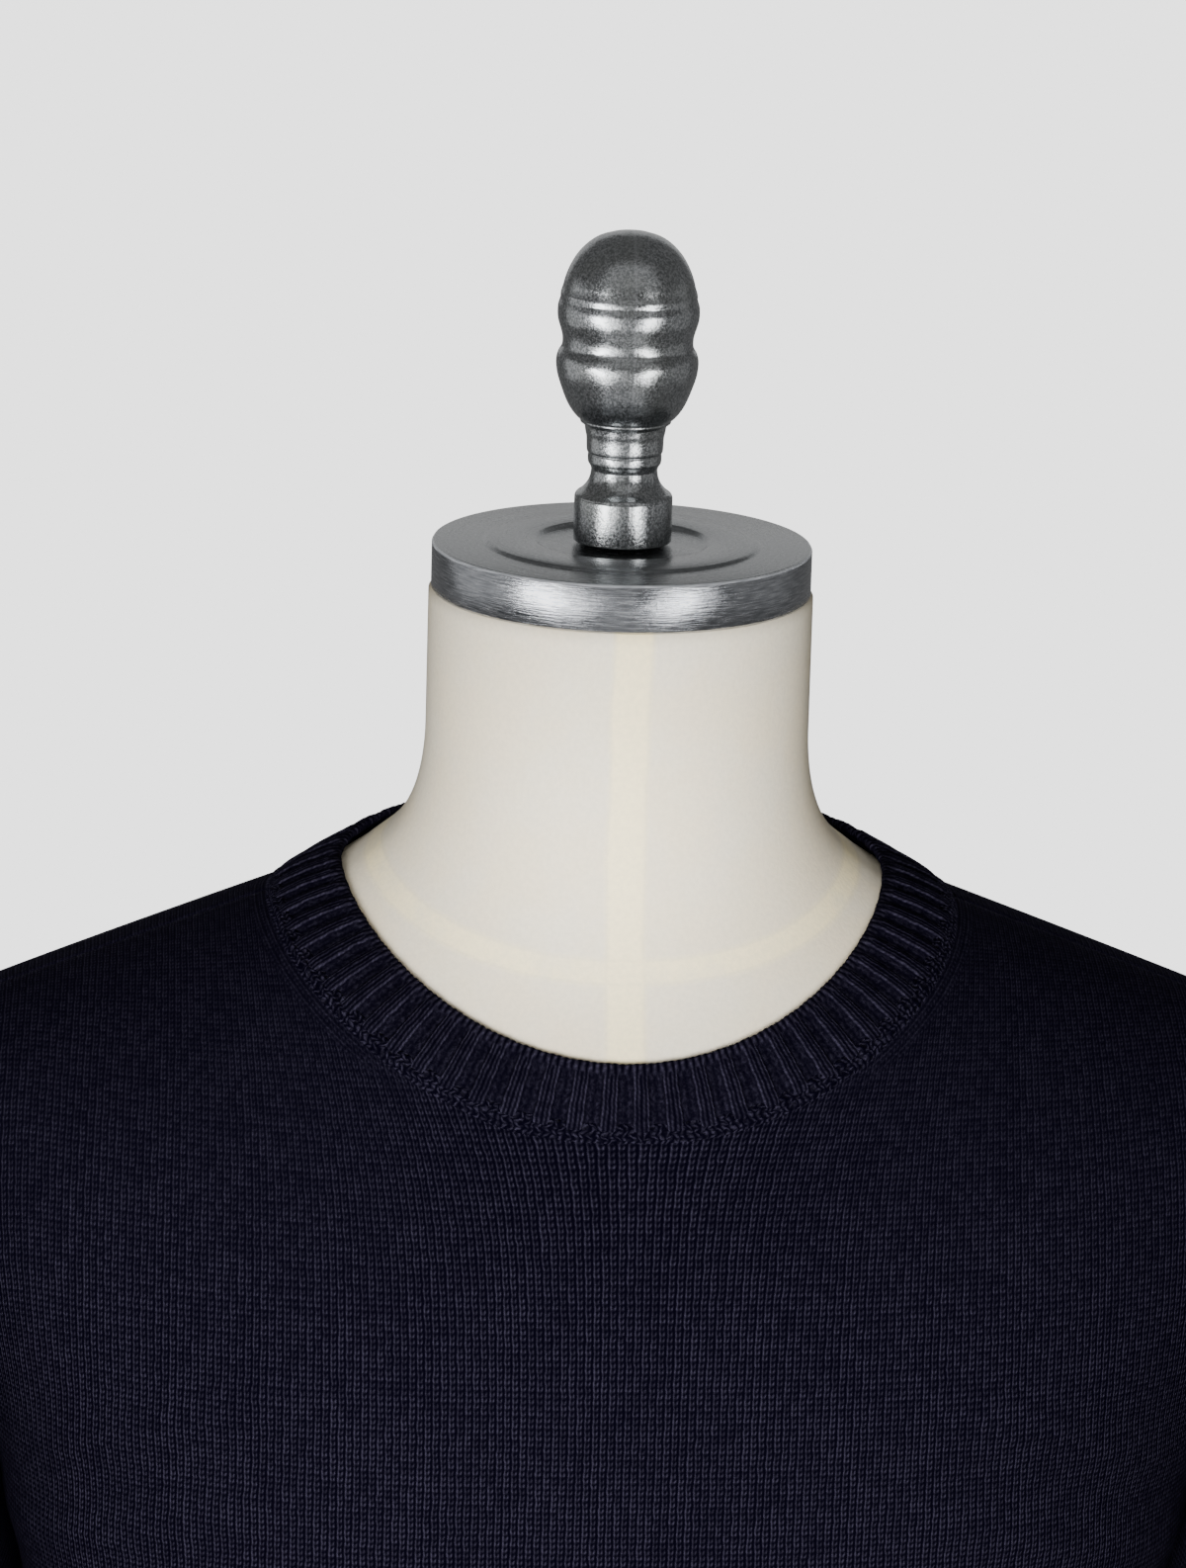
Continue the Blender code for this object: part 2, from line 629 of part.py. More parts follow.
def dress_form():
    """The limbless form as one closed mesh: front and back grids welded at the sides and shoulders,
    domed plates in the arm ends, a flat bottom, and rings up the neck."""
    heights = (FORM_LOW, *FORM_ROWS, *UNDERARM_ROWS)
    quarter = np.linspace(np.pi / 2, 0, NECK_COLUMNS + 1)
    build = bmesh.new()
    ends = {1: [], -1: []}
    neck = {}
    floor = {}
    for facing in (-1, 1):
        grid = whole_panel(FORM, facing, heights, NECK_SEAM)
        grid[..., 1] -= facing * SEAM / 2
        verts = add_patches(build, grid, facing > 0)
        arm_rows = verts[heights.index(ARMPIT) :]
        ends[-1].append([row[0] for row in arm_rows])
        ends[1].append([row[-1] for row in arm_rows])
        middle = HALF_COLUMNS
        neck[facing] = verts[-1][middle - NECK_COLUMNS : middle + NECK_COLUMNS + 1]
        floor[facing] = verts[0]
    around = np.concatenate([-quarter[::-1][:-1] + np.pi, quarter])
    angles = {-1: around, 1: 2 * np.pi - around}
    loop = neck[-1] + neck[1][-2:0:-1]
    loop_angles = np.concatenate([angles[-1], angles[1][-2:0:-1]])
    previous = loop
    for ring in neck_rings(loop_angles):
        verts = [build.verts.new(point) for point in ring]
        for i in range(len(verts)):
            j = (i + 1) % len(verts)
            build.faces.new([previous[i], previous[j], verts[j], verts[i]])
        previous = verts
    build.faces.new(previous)
    for side in (-1, 1):
        edge = ends[side][0] + ends[side][1][-2:0:-1]
        middle = np.mean([vert.co[:] for vert in edge], axis=0)
        inner = []
        for vert in edge:
            point = middle + (np.array(vert.co) - middle) * PLATE_SHARE
            point[0] += side * PLATE_DOME
            inner.append(build.verts.new(point))
        for i in range(len(edge)):
            j = (i + 1) % len(edge)
            build.faces.new([edge[i], edge[j], inner[j], inner[i]])
        build.faces.new(inner)
    build.faces.new(floor[-1] + floor[1][-2:0:-1])
    bmesh.ops.remove_doubles(build, verts=build.verts[:], dist=WELD)
    bmesh.ops.recalc_face_normals(build, faces=build.faces[:])
    link("dress_form", finished_mesh("dress_form", build), CREAM_COTTON)


def stand():
    """The finial and cap on the neck, and the pole, its flange and the round base below."""
    turned("finial", FINIAL_PROFILE, CAP_TOP, CAST_METAL)
    turned("neck_cap", CAP_PROFILE, CAP_TOP, BRUSHED_METAL)
    length = FORM_LOW - BASE_TOP - 2 * SEAM
    bpy.ops.mesh.primitive_cylinder_add(
        vertices=TURN_STEPS,
        radius=POLE_RADIUS,
        depth=length,
        location=(0, 0, BASE_TOP + SEAM + length / 2),
    )
    primitive = bpy.context.object
    mesh = primitive.data
    mesh.transform(primitive.matrix_world)
    bpy.data.objects.remove(primitive)
    link("pole", mesh, BRUSHED_METAL)
    turned("pole_flange", FLANGE_PROFILE, 0.0, BRUSHED_METAL)
    turned("base", BASE_PROFILE, 0.0, BRUSHED_METAL)


for old in list(bpy.data.objects):
    bpy.data.objects.remove(old)
collection = bpy.data.collections.new("crew neck sweater on a dress form")
bpy.context.scene.collection.children.link(collection)
body_panels()
sleeves()
collar()
hem()
dress_form()
stand()
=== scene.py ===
"""Looks for a crew neck sweater on a limbless dress form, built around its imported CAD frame.

Metres, +Z up. The front faces -Y and the origin is the middle of the base's underside. The sweater's
pieces are fine shells on the same surface as the solids: the inner face is worked out from sizes and
a Solidify modifier, or a closed section, gives it the thickness of the cloth. Every shell carries a
UV map counted in stitches, and the knit materials draw their loops from it.
"""

import math

import bpy
import numpy as np
from bpy.props import FloatProperty, FloatVectorProperty, PointerProperty
from mathutils import Matrix, Vector


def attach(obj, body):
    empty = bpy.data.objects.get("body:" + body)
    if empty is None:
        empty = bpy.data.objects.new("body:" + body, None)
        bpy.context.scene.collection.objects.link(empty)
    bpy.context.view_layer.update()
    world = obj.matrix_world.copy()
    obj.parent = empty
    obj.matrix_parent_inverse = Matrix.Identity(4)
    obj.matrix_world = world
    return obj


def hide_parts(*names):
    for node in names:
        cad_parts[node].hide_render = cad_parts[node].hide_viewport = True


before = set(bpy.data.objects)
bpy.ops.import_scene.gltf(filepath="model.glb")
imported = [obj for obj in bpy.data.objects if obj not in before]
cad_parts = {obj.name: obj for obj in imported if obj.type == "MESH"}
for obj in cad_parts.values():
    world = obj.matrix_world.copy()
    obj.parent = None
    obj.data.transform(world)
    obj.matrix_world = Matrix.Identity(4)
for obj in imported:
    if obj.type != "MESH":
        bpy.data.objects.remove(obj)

bl_info = {
    "name": "Crew neck sweater",
    "version": (1, 0, 0),
    "blender": (4, 5, 0),
    "location": "View3D > Sidebar > Sweater",
    "description": "Builds a knitted crew neck sweater and the dress form that it rests on",
    "category": "Object",
}

# Heights above the floor
CAP_TOP = 1.030
SHOULDER = CAP_TOP - 0.1222  # of the shoulder ridge at SHOULDER_X
CHEST = CAP_TOP - 0.270  # the fullest level, where the upper body starts to close over
ARMPIT = CAP_TOP - 0.318
HEM_TOP = 0.330
HEM_LOW = 0.262
FORM_LOW = 0.230
CUFF_TOP = 0.298
CUFF_LOW = 0.230

# Shoulders
SHOULDER_X = 0.113
SHOULDER_SLOPE = 0.376
SHOULDER_TIP = 0.226
CREST = 0.060  # the ridge is rounded over inside this, where the neck is open
ROUND_FROM = 0.200  # the ridge rounds down outside this
ROUND_BY = 4.0
RIDGE_Y = 0.006
SECTION_POWER = 2.5  # of the superellipse that a level section follows
ARM_POWER = 1.42  # how the section widens above the armpit
ARM_WIDEN = 0.895
ACROSS = 0.199  # half the width between the armholes at the chest
ARM_SWEEP = 1.8  # how late the armhole edge moves out to the shoulder tip
CLOSE_POWER = {-1: 1.95, 1: 2.5}  # how front (-1) and back (1) close over to the ridge

# Cloth thicknesses and the gaps between linked pieces
KNIT = 0.0022
RIB = 0.0034
SEAM = 0.0003
NECK_SEAM = 0.0009
ARM_SEAM = 0.0007
UNDERARM_EASE = 0.0018
EASE_TO = 0.810

# The neck opening of the panels, and the fold at the top of the collar
NECK_SIDE, NECK_FRONT, NECK_BACK = 0.1115, 0.0975, 0.0728
NECK_POWER = 2.35
FOLD_SIDE, FOLD_FRONT, FOLD_BACK = 0.0884, 0.0873, 0.0655
FOLD_SIDE_UP = CAP_TOP - 0.1107
FOLD_FRONT_DROP = 0.0400
FOLD_BACK_RISE = 0.0130
FOLD_DIP, FOLD_LIFT = 1.45, 1.2  # how the drop and the rise set in from the sides
COLLAR_BULGE = 0.0010
UNDER_COLLAR = 0.0012

# Stitches
WALE = 0.00252  # width of a column of stitches
COURSE = 0.00202  # height of a row
RIB_PERIOD = 4  # wales in one period of the rib: two raised, two sunk
COLLAR_RIBS = 60
RIB_HEIGHT = 0.0005
EDGE_WALES = 3.0  # wales that run along the neck opening before the panel's own begin
PANEL_EDGE = 0.0002  # the panels start this far from the collar in plan, under the linking seam

SECTION = [("height", float), ("side", float), ("front", float), ("back", float)]

# Level sections of the inner face of the sweater, below the chest
SWEATER_SECTIONS = np.array(
    [
        (HEM_LOW, 0.1765, 0.1080, 0.0935),
        (HEM_TOP, 0.1805, 0.1125, 0.0975),
        (0.410, 0.1790, 0.1140, 0.0960),
        (0.490, 0.1770, 0.1140, 0.0940),
        (0.570, 0.1795, 0.1145, 0.0940),
        (0.630, 0.1840, 0.1155, 0.0970),
        (0.674, 0.1895, 0.1168, 0.1000),
        (ARMPIT, 0.1978, 0.1180, 0.1025),
        (CHEST, 0.1978, 0.1188, 0.1038),
    ],
    dtype=SECTION,
)

# Level sections of the dress form
FORM_SECTIONS = np.array(
    [
        (FORM_LOW, 0.1680, 0.0970, 0.0870),
        (0.300, 0.1720, 0.1000, 0.0900),
        (0.400, 0.1660, 0.0990, 0.0870),
        (0.490, 0.1600, 0.0970, 0.0820),
        (0.570, 0.1680, 0.1010, 0.0850),
        (0.630, 0.1770, 0.1070, 0.0910),
        (0.674, 0.1855, 0.1130, 0.0970),
        (ARMPIT, 0.1945, 0.1160, 0.1005),
        (CHEST, 0.1945, 0.1176, 0.1026),
    ],
    dtype=SECTION,
)

SWEATER = {"ridge": SHOULDER, "across": ACROSS, "tip": SHOULDER_TIP, "levels": SWEATER_SECTIONS}
UNDER_SHOULDER = 0.0014  # how far the form stays inside the sweater: at the shoulder ridge,
UNDER_ARMHOLE = 0.0035  # at the armhole
UNDER_TIP = 0.0045  # and at the shoulder's tip
FORM = {
    "ridge": SHOULDER - UNDER_SHOULDER,
    "across": ACROSS - UNDER_ARMHOLE,
    "tip": SHOULDER_TIP - UNDER_TIP,
    "levels": FORM_SECTIONS,
}

# The left sleeve, from the armhole down. Each ring starts at an inner point and runs out at an angle.
SLEEVE_RINGS = np.array(
    [
        (0.2030, 0.7120, 79.0, 0.1560, 0.0630, 0.0570, 1.00),
        (0.2041, 0.7105, 76.5, 0.1560, 0.0640, 0.0590, 0.80),
        (0.2035, 0.7085, 73.0, 0.1460, 0.0670, 0.0630, 0.50),
        (0.2026, 0.7065, 67.0, 0.1270, 0.0710, 0.0690, 0.25),
        (0.2018, 0.7045, 57.0, 0.0990, 0.0760, 0.0750, 0.10),
        (0.2011, 0.7025, 43.0, 0.0745, 0.0800, 0.0800, 0.00),
        (0.2006, 0.7005, 26.0, 0.0610, 0.0825, 0.0825, 0.00),
        (0.1994, 0.6950, 10.0, 0.0560, 0.0845, 0.0840, 0.00),
        (0.1955, 0.6750, 2.0, 0.0570, 0.0845, 0.0820, 0.00),
        (0.1925, 0.6350, 0.0, 0.0575, 0.0825, 0.0780, 0.00),
        (0.1915, 0.5800, 0.0, 0.0565, 0.0795, 0.0715, 0.00),
        (0.1910, 0.5100, 0.0, 0.0545, 0.0755, 0.0630, 0.00),
        (0.1915, 0.4300, 0.0, 0.0520, 0.0710, 0.0535, 0.00),
        (0.1922, 0.3600, 0.0, 0.0490, 0.0665, 0.0465, 0.00),
        (0.1928, CUFF_TOP, 0.0, 0.0455, 0.0595, 0.0395, 0.00),
    ],
    dtype=[
        ("x", float),
        ("height", float),
        ("angle", float),
        ("reach", float),
        ("front", float),
        ("back", float),
        ("armhole", float),
    ],
)
CUFF_RINGS = SLEEVE_RINGS[-2:].copy()
CUFF_RINGS["height"] = CUFF_TOP - SEAM, CUFF_LOW
CUFF_RINGS["front"] = 0.0575, 0.0530
CUFF_RINGS["back"] = 0.0375, 0.0335
CUFF_RINGS["reach"] = 0.0450, 0.0430
CUFF_RINGS["x"] = 0.1930, 0.1932
SLEEVE_POWER = 2.3

# Soft folds of the body: from one point to another in x and height, how wide, and how far out
FOLDS = np.array(
    [
        (-1, -0.040, 0.880, -0.038, 0.640, 0.011, -0.0009),
        (-1, -0.185, 0.742, -0.105, 0.776, 0.008, 0.0016),
        (-1, -0.190, 0.706, -0.100, 0.742, 0.008, 0.0018),
        (-1, -0.186, 0.672, -0.112, 0.704, 0.010, 0.0016),
        (-1, 0.186, 0.738, 0.108, 0.772, 0.008, 0.0016),
        (-1, 0.189, 0.702, 0.096, 0.736, 0.009, 0.0018),
        (-1, 0.184, 0.664, 0.118, 0.690, 0.010, 0.0015),
        (-1, -0.120, 0.520, -0.060, 0.430, 0.016, 0.0022),
        (-1, 0.105, 0.500, 0.070, 0.400, 0.017, 0.0020),
        (-1, -0.020, 0.470, -0.008, 0.380, 0.014, 0.0016),
        (-1, 0.150, 0.600, 0.128, 0.470, 0.014, 0.0018),
        (1, -0.188, 0.730, -0.110, 0.770, 0.009, 0.0018),
        (1, 0.188, 0.724, 0.100, 0.762, 0.009, 0.0018),
        (1, -0.150, 0.690, -0.090, 0.560, 0.016, 0.0022),
        (1, 0.142, 0.680, 0.100, 0.540, 0.015, 0.0020),
        (1, -0.060, 0.560, -0.030, 0.420, 0.016, 0.0020),
        (1, 0.050, 0.540, 0.046, 0.390, 0.018, 0.0022),
    ],
    dtype=[
        ("facing", int),
        ("x0", float),
        ("z0", float),
        ("x1", float),
        ("z1", float),
        ("wide", float),
        ("out", float),
    ],
)

# Turned parts: each row is a radius and a height above the cap's rim plane
CAP_RADIUS = 0.0620
CAP_THICK = 0.0160
TURNED = [("radius", float), ("height", float)]
CAP_PROFILE = np.array(
    [
        (0.0000, -0.0005),
        (0.0262, -0.0005),
        (0.0275, -0.0002),
        (0.0285, 0.0008),
        (0.0292, 0.0010),
        (0.0438, 0.0010),
        (0.0446, 0.0007),
        (0.0452, 0.0001),
        (0.0460, 0.0000),
        (0.0608, 0.0000),
        (0.0616, -0.0002),
        (CAP_RADIUS, -0.0009),
        (CAP_RADIUS, 0.0010 - CAP_THICK),
        (0.0615, 0.0002 - CAP_THICK),
        (0.0608, -CAP_THICK),
        (0.0000, -CAP_THICK),
    ],
    dtype=TURNED,
)
FINIAL_PROFILE = np.array(
    [
        (0.0000, 0.1026),
        (0.0060, 0.1021),
        (0.0105, 0.1006),
        (0.0140, 0.0982),
        (0.0168, 0.0952),
        (0.0187, 0.0922),
        (0.0200, 0.0894),
        (0.0209, 0.0868),
        (0.0214, 0.0848),
        (0.0219, 0.0832),
        (0.0221, 0.0826),
        (0.0222, 0.0818),
        (0.0222, 0.0808),
        (0.0225, 0.0798),
        (0.0229, 0.0784),
        (0.0230, 0.0770),
        (0.0230, 0.0755),
        (0.0228, 0.0738),
        (0.0223, 0.0720),
        (0.0217, 0.0701),
        (0.0213, 0.0684),
        (0.0212, 0.0672),
        (0.0212, 0.0662),
        (0.0213, 0.0653),
        (0.0217, 0.0643),
        (0.0223, 0.0634),
        (0.0227, 0.0624),
        (0.0230, 0.0612),
        (0.0231, 0.0598),
        (0.0230, 0.0582),
        (0.0227, 0.0562),
        (0.0221, 0.0540),
        (0.0212, 0.0514),
        (0.0202, 0.0487),
        (0.0189, 0.0459),
        (0.0174, 0.0436),
        (0.0158, 0.0418),
        (0.0149, 0.0412),
        (0.0147, 0.0402),
        (0.0136, 0.0395),
        (0.0133, 0.0388),
        (0.0130, 0.0370),
        (0.0126, 0.0350),
        (0.0124, 0.0308),
        (0.0118, 0.0301),
        (0.0120, 0.0293),
        (0.0119, 0.0270),
        (0.0112, 0.0258),
        (0.0108, 0.0246),
        (0.0108, 0.0240),
        (0.0112, 0.0218),
        (0.0121, 0.0198),
        (0.0138, 0.0178),
        (0.0154, 0.0166),
        (0.0159, 0.0156),
        (0.0160, 0.0140),
        (0.0160, 0.0026),
        (0.0157, 0.0010),
        (0.0135, -0.0002),
        (0.0000, -0.0002),
    ],
    dtype=TURNED,
)

# How the form's neck flares out of its column and under the collar
NECK_COLUMN = {"front": 0.0620, "side": 0.0628, "back": 0.0595}
NECK_TOP = CAP_TOP - CAP_THICK - SEAM
STRAIGHT_BELOW = {"front": 0.078, "side": 0.060, "back": 0.062}
FLARE_LOW = {"front": 0.122, "side": 0.0960, "back": 0.0820}
FLARE_OUT = {"front": 0.014, "side": 0.0120, "back": 0.0060}
FLARE_SLOPE = {"front": 56.0, "side": 38.0, "back": 66.0}
NECK_SEAM_AT = {"front": 0.52, "side": 0.28, "back": 0.40}  # share of the flare, from the collar up

# Mesh density
PANEL_COLUMNS = 72
PANEL_NECK_COLUMNS = 42
PANEL_CLOSE_ROWS = 64
PANEL_LOW_STEP = 0.0070
CAP_STEPS = 192  # round the cap
FINIAL_STEPS = 128
FINIAL_FINE = 4  # rows between two of the finial's profile


# ---------------------------------------------------------------- surfaces


def smooth_read(table, column, at):
    """Reads a column of a table at a height: a cubic between rows, with slopes from the rows around."""
    height, value = table["height"], table[column]
    slope = np.gradient(value, height)
    at = np.clip(at, height[0], height[-1])
    row = np.clip(np.searchsorted(height, at) - 1, 0, len(height) - 2)
    step = height[row + 1] - height[row]
    t = (at - height[row]) / step
    return (
        (2 * t**3 - 3 * t**2 + 1) * value[row]
        + (t**3 - 2 * t**2 + t) * step * slope[row]
        + (3 * t**2 - 2 * t**3) * value[row + 1]
        + (t**3 - t**2) * step * slope[row + 1]
    )


def lengths(line):
    """Running length along the points of a line, or of several lines side by side: the sum of the
    distances between neighbours."""
    steps = np.linalg.norm(np.diff(line, axis=0), axis=-1)
    return np.concatenate([np.zeros_like(steps[:1]), np.cumsum(steps, axis=0)])


def evened(line, count):
    """Points spread evenly by length along a dense line, read between its own points."""
    length = lengths(line)
    at = np.linspace(0, length[-1], count)
    return np.stack([np.interp(at, length, line[:, axis]) for axis in range(line.shape[1])], axis=1)


def unit(vectors):
    """The vectors scaled to length 1."""
    return vectors / np.maximum(np.linalg.norm(vectors, axis=-1, keepdims=True), 1e-12)


def ridge(size, x):
    """Height of the shoulder ridge: a straight slope, a parabola across the open neck and a square
    term that rounds it down near the tip."""
    x = np.abs(x)
    x = np.where(x < CREST, (x**2 / CREST + CREST) / 2, x)
    past = np.maximum(x - ROUND_FROM, 0)
    return size["ridge"] - SHOULDER_SLOPE * (x - SHOULDER_X) - ROUND_BY * past**2


def half_width(size, height):
    """Half width of the level section. Above the armpit it goes on past the armhole edge by a power
    of the height above it."""
    above = np.maximum(height - ARMPIT, 0)
    return smooth_read(size["levels"], "side", height) + ARM_WIDEN * above**ARM_POWER


def reach(size, facing, x, height):
    """Distance from the ridge plane to the front (-1) or back (1) of the level section at x:
    a superellipse, (x/side)^n + (y/reach)^n = 1."""
    name = "front" if facing < 0 else "back"
    full = smooth_read(size["levels"], name, height) - facing * RIDGE_Y
    share = np.clip(np.abs(x) / half_width(size, height), 0, 1)
    return full * (1 - share**SECTION_POWER) ** (1 / SECTION_POWER)


def closing_point(size, facing, x, turn):
    """A point above the chest, where turn goes from 0 at the chest to a right angle on the ridge:
    height = chest + (ridge - chest) sin(turn)^(2/m) and y = reach cos(turn)^(2/m)."""
    power = 2 / CLOSE_POWER[facing]
    height = CHEST + (ridge(size, x) - CHEST) * np.sin(turn) ** power
    y = RIDGE_Y + facing * (SEAM / 2 + reach(size, facing, x, height) * np.cos(turn) ** power)
    return np.stack([x, y, height], axis=-1)


CLOSING_TRIES = 12


def closing_turn(size, facing, x, y):
    """The turn at which the upper body has this x and y. It starts from the height of the shoulder,
    and again and again works out the turn from the height's reach and the height from that turn."""
    power = CLOSE_POWER[facing]
    height = np.full(np.shape(x), SHOULDER)
    for _ in range(CLOSING_TRIES):
        share = np.clip(np.abs(y - RIDGE_Y) / reach(size, facing, x, height), 0, 1)
        turn = np.arccos(share ** (power / 2))
        height = CHEST + (ridge(size, x) - CHEST) * np.sin(turn) ** (2 / power)
    return turn


def oval(angle, side, front, back, power=2.0):
    """Plan of the neck opening, a superellipse: x = side cos(angle)^(2/n) and y = front or back
    sin(angle)^(2/n). Angle 0 is +X and a right angle is the front."""
    across = np.sign(np.cos(angle)) * np.abs(np.cos(angle)) ** (2 / power)
    along = np.abs(np.sin(angle)) ** (2 / power)
    deep = np.where(np.sin(angle) > 0, -(front + RIDGE_Y), back - RIDGE_Y)
    return side * across, RIDGE_Y + deep * along


def neck_line(size, angle, grow=0.0):
    """Points of the neck opening: its plan, grown outwards from the collar, at the height where the
    body's surface closes over it."""
    side, front, back = NECK_SIDE + grow, NECK_FRONT + grow, NECK_BACK + grow
    x, y = oval(angle, side, front, back, NECK_POWER)
    points = np.empty((len(angle), 3))
    for facing, here in ((-1, np.sin(angle) >= 0), (1, np.sin(angle) < 0)):
        turn = closing_turn(size, facing, x[here], y[here])
        points[here] = closing_point(size, facing, x[here], turn)
    points[:, 1] = y
    return points


def edge_reach(size, heights):
    """Half width of the panel: its side seam, and above the armpit its armhole edge, which leaves the
    side by the square of the height's share."""
    share = np.clip((heights - ARMPIT) / (CHEST - ARMPIT), 0, 1)
    side = smooth_read(size["levels"], "side", heights)
    return side + (size["across"] - side) * share**2 * (heights > ARMPIT)


LEVEL_DENSE = 300  # points of a level section before they are spread evenly


def level_row(size, facing, height, columns):
    """One level row of half a panel, from the middle to its edge: points of the superellipse at even
    angles, then spread evenly by length."""
    wide = half_width(size, height)
    last = np.arcsin(np.clip((edge_reach(size, height) / wide) ** (SECTION_POWER / 2), 0, 1))
    x = wide * np.sin(np.linspace(0, last, LEVEL_DENSE)) ** (2 / SECTION_POWER)
    y = RIDGE_Y + facing * (SEAM / 2 + reach(size, facing, x, height))
    return evened(np.stack([x, y, np.full(x.shape, height)], axis=1), columns)


def panel_rows(size, facing, heights, columns, neck_columns, close_rows, grow):
    """Half a panel at +X, with the turn of each point. Level rows run up to the chest, then rows close
    over to the shoulder and neck: the same share of every column's turn, while x moves over to the
    column's end by a power of that share. The neck columns end at the opening, the others at the
    ridge."""
    low = np.stack([level_row(size, facing, height, columns + 1) for height in heights])
    chest = low[-1][:, 0]
    quarter = np.linspace(np.pi / 2, 0, neck_columns + 1)
    side, front, back = NECK_SIDE + grow, NECK_FRONT + grow, NECK_BACK + grow
    top_x, top_y = oval(-facing * quarter, side, front, back, NECK_POWER)
    top_turn = closing_turn(size, facing, top_x, top_y)
    shoulder = np.linspace(top_x[-1], size["tip"], columns + 1 - neck_columns)[1:]
    top_x = np.append(top_x, shoulder)
    top_turn = np.append(top_turn, np.full(shoulder.shape, np.pi / 2))
    share = np.linspace(0, 1, close_rows + 1)[1:, None]
    x = chest + (top_x - chest) * share**ARM_SWEEP
    turn = share * top_turn
    points = np.concatenate([low, closing_point(size, facing, x, turn)])
    return points, np.concatenate([np.zeros(low.shape[:2]), turn])


TABLE_X, TABLE_TURNS = 120, 90
PAST_TIP = 0.004


def stitch_tables(facing):
    """Widths along lines of equal turn and lengths up the surface from the chest, on a grid of x and
    turn. They turn a point of the upper body into a place on the flat panel."""
    x = np.linspace(0, SHOULDER_TIP + PAST_TIP, TABLE_X)
    turn = np.linspace(0, np.pi / 2, TABLE_TURNS)
    across, up = np.meshgrid(x, turn, indexing="ij")
    points = closing_point(SWEATER, facing, across, up)
    wide = lengths(points)
    long = np.swapaxes(lengths(np.swapaxes(points, 0, 1)), 0, 1)
    return x, turn, wide, long


def read_grid(x, turn, values, at_x, at_turn):
    """Reads a grid of values between its lines, linearly both ways."""
    i = np.clip(at_x / (x[1] - x[0]), 0, len(x) - 1.001)
    j = np.clip(at_turn / (turn[1] - turn[0]), 0, len(turn) - 1.001)
    low_i, low_j = i.astype(int), j.astype(int)
    s, t = i - low_i, j - low_j
    near = values[low_i, low_j] * (1 - t) + values[low_i, low_j + 1] * t
    far = values[low_i + 1, low_j] * (1 - t) + values[low_i + 1, low_j + 1] * t
    return near * (1 - s) + far * s


def grid_normals(points, around=False):
    """Unit normals of a grid of points, along the cross product of its columns' and rows' directions."""
    if around:
        wide = np.roll(points, -1, axis=1) - np.roll(points, 1, axis=1)
    else:
        wide = np.gradient(points, axis=1)
    return unit(np.cross(wide, np.gradient(points, axis=0)))


FOLD_PAST = 0.25  # how far a fold runs on past its ends, as a share of its length
FOLD_FADE = 0.5  # the share of its length that it fades over


def fold_height(facing, points):
    """Height of the soft folds at each point: each is a bell across its line that fades at its ends
    by the smooth step 3 t^2 - 2 t^3."""
    total = np.zeros(points.shape[:-1])
    for fold in FOLDS[FOLDS["facing"] == facing]:
        start = np.array([fold["x0"], fold["z0"]])
        along = np.array([fold["x1"], fold["z1"]]) - start
        size = np.linalg.norm(along)
        along /= size
        away = points[..., (0, 2)] - start
        s = away @ along / size
        d = (away[..., 0] * along[1] - away[..., 1] * along[0]) / fold["wide"]
        ends = np.clip(np.minimum(s + FOLD_PAST, 1 + FOLD_PAST - s) / FOLD_FADE, 0, 1)
        total += fold["out"] * np.exp(-(d**2)) * ends**2 * (3 - 2 * ends)
    return total


def collar_band(angles):
    """The collar's inner face at each angle: its linked edge, which is the neck opening, its fold, an
    ellipse in plan whose height drops to the front and rises to the back by powers of the sine, and
    the way it faces, the cross product of the band and its edge."""
    low = neck_line(SWEATER, angles)
    x, y = oval(angles, FOLD_SIDE, FOLD_FRONT, FOLD_BACK)
    forward = np.sin(angles)
    rise = np.where(
        forward > 0,
        -FOLD_FRONT_DROP * np.abs(forward) ** FOLD_DIP,
        FOLD_BACK_RISE * np.abs(forward) ** FOLD_LIFT,
    )
    fold = np.stack([x, y, FOLD_SIDE_UP + rise], axis=1)
    out = unit(np.cross(fold - low, np.roll(low, -1, axis=0) - np.roll(low, 1, axis=0)))
    return low, fold, out * np.sign(out[:, 2:])


ARMHOLE_LEAN = 0.5  # how far the gap at the armhole opens outwards from the panel as well as along it


def armhole(grow, heights, columns, neck_columns, close_rows):
    """The armhole edge at +X: from the underarm up the front edge, over the tip and down the back. It
    is the edge of the panels, moved out by their thickness, away by the gap, and further away the
    nearer it is to the underarm."""
    sides = []
    for facing in (-1, 1):
        grid, _ = panel_rows(SWEATER, facing, heights, columns, neck_columns, close_rows, NECK_SEAM)
        edge = grid[:, -1]
        along = unit(edge - grid[:, -2])
        outwards = unit(-facing * np.cross(along, np.gradient(edge, axis=0)))
        away = unit(along + outwards * ARMHOLE_LEAN + np.array([1.0, 0, 0]))
        low = np.clip((EASE_TO - edge[:, 2:]) / (EASE_TO - ARMPIT), 0, 1)
        sides.append(edge + outwards * KNIT + away * grow + low * (UNDERARM_EASE, 0, 0))
    return np.concatenate([sides[0], sides[1][-2:0:-1]])


def sleeve_ring(row, angles):
    """One ring of the left sleeve: a superellipse that starts at an inner point and leans out, with
    half its reach times 1 - cos(angle)^(2/n) along it, and front or back times sin(angle)^(2/n)
    across."""
    tilt = np.radians(row["angle"])
    across = np.sign(np.cos(angles)) * np.abs(np.cos(angles)) ** (2 / SLEEVE_POWER)
    along = row["reach"] / 2 * (1 - across)
    deep = np.abs(np.sin(angles)) ** (2 / SLEEVE_POWER)
    y = np.where(np.sin(angles) > 0, -row["front"], row["back"]) * deep
    return np.stack([row["x"] + along * np.cos(tilt), y, row["height"] + along * np.sin(tilt)], axis=1)


RING_DENSE = 720


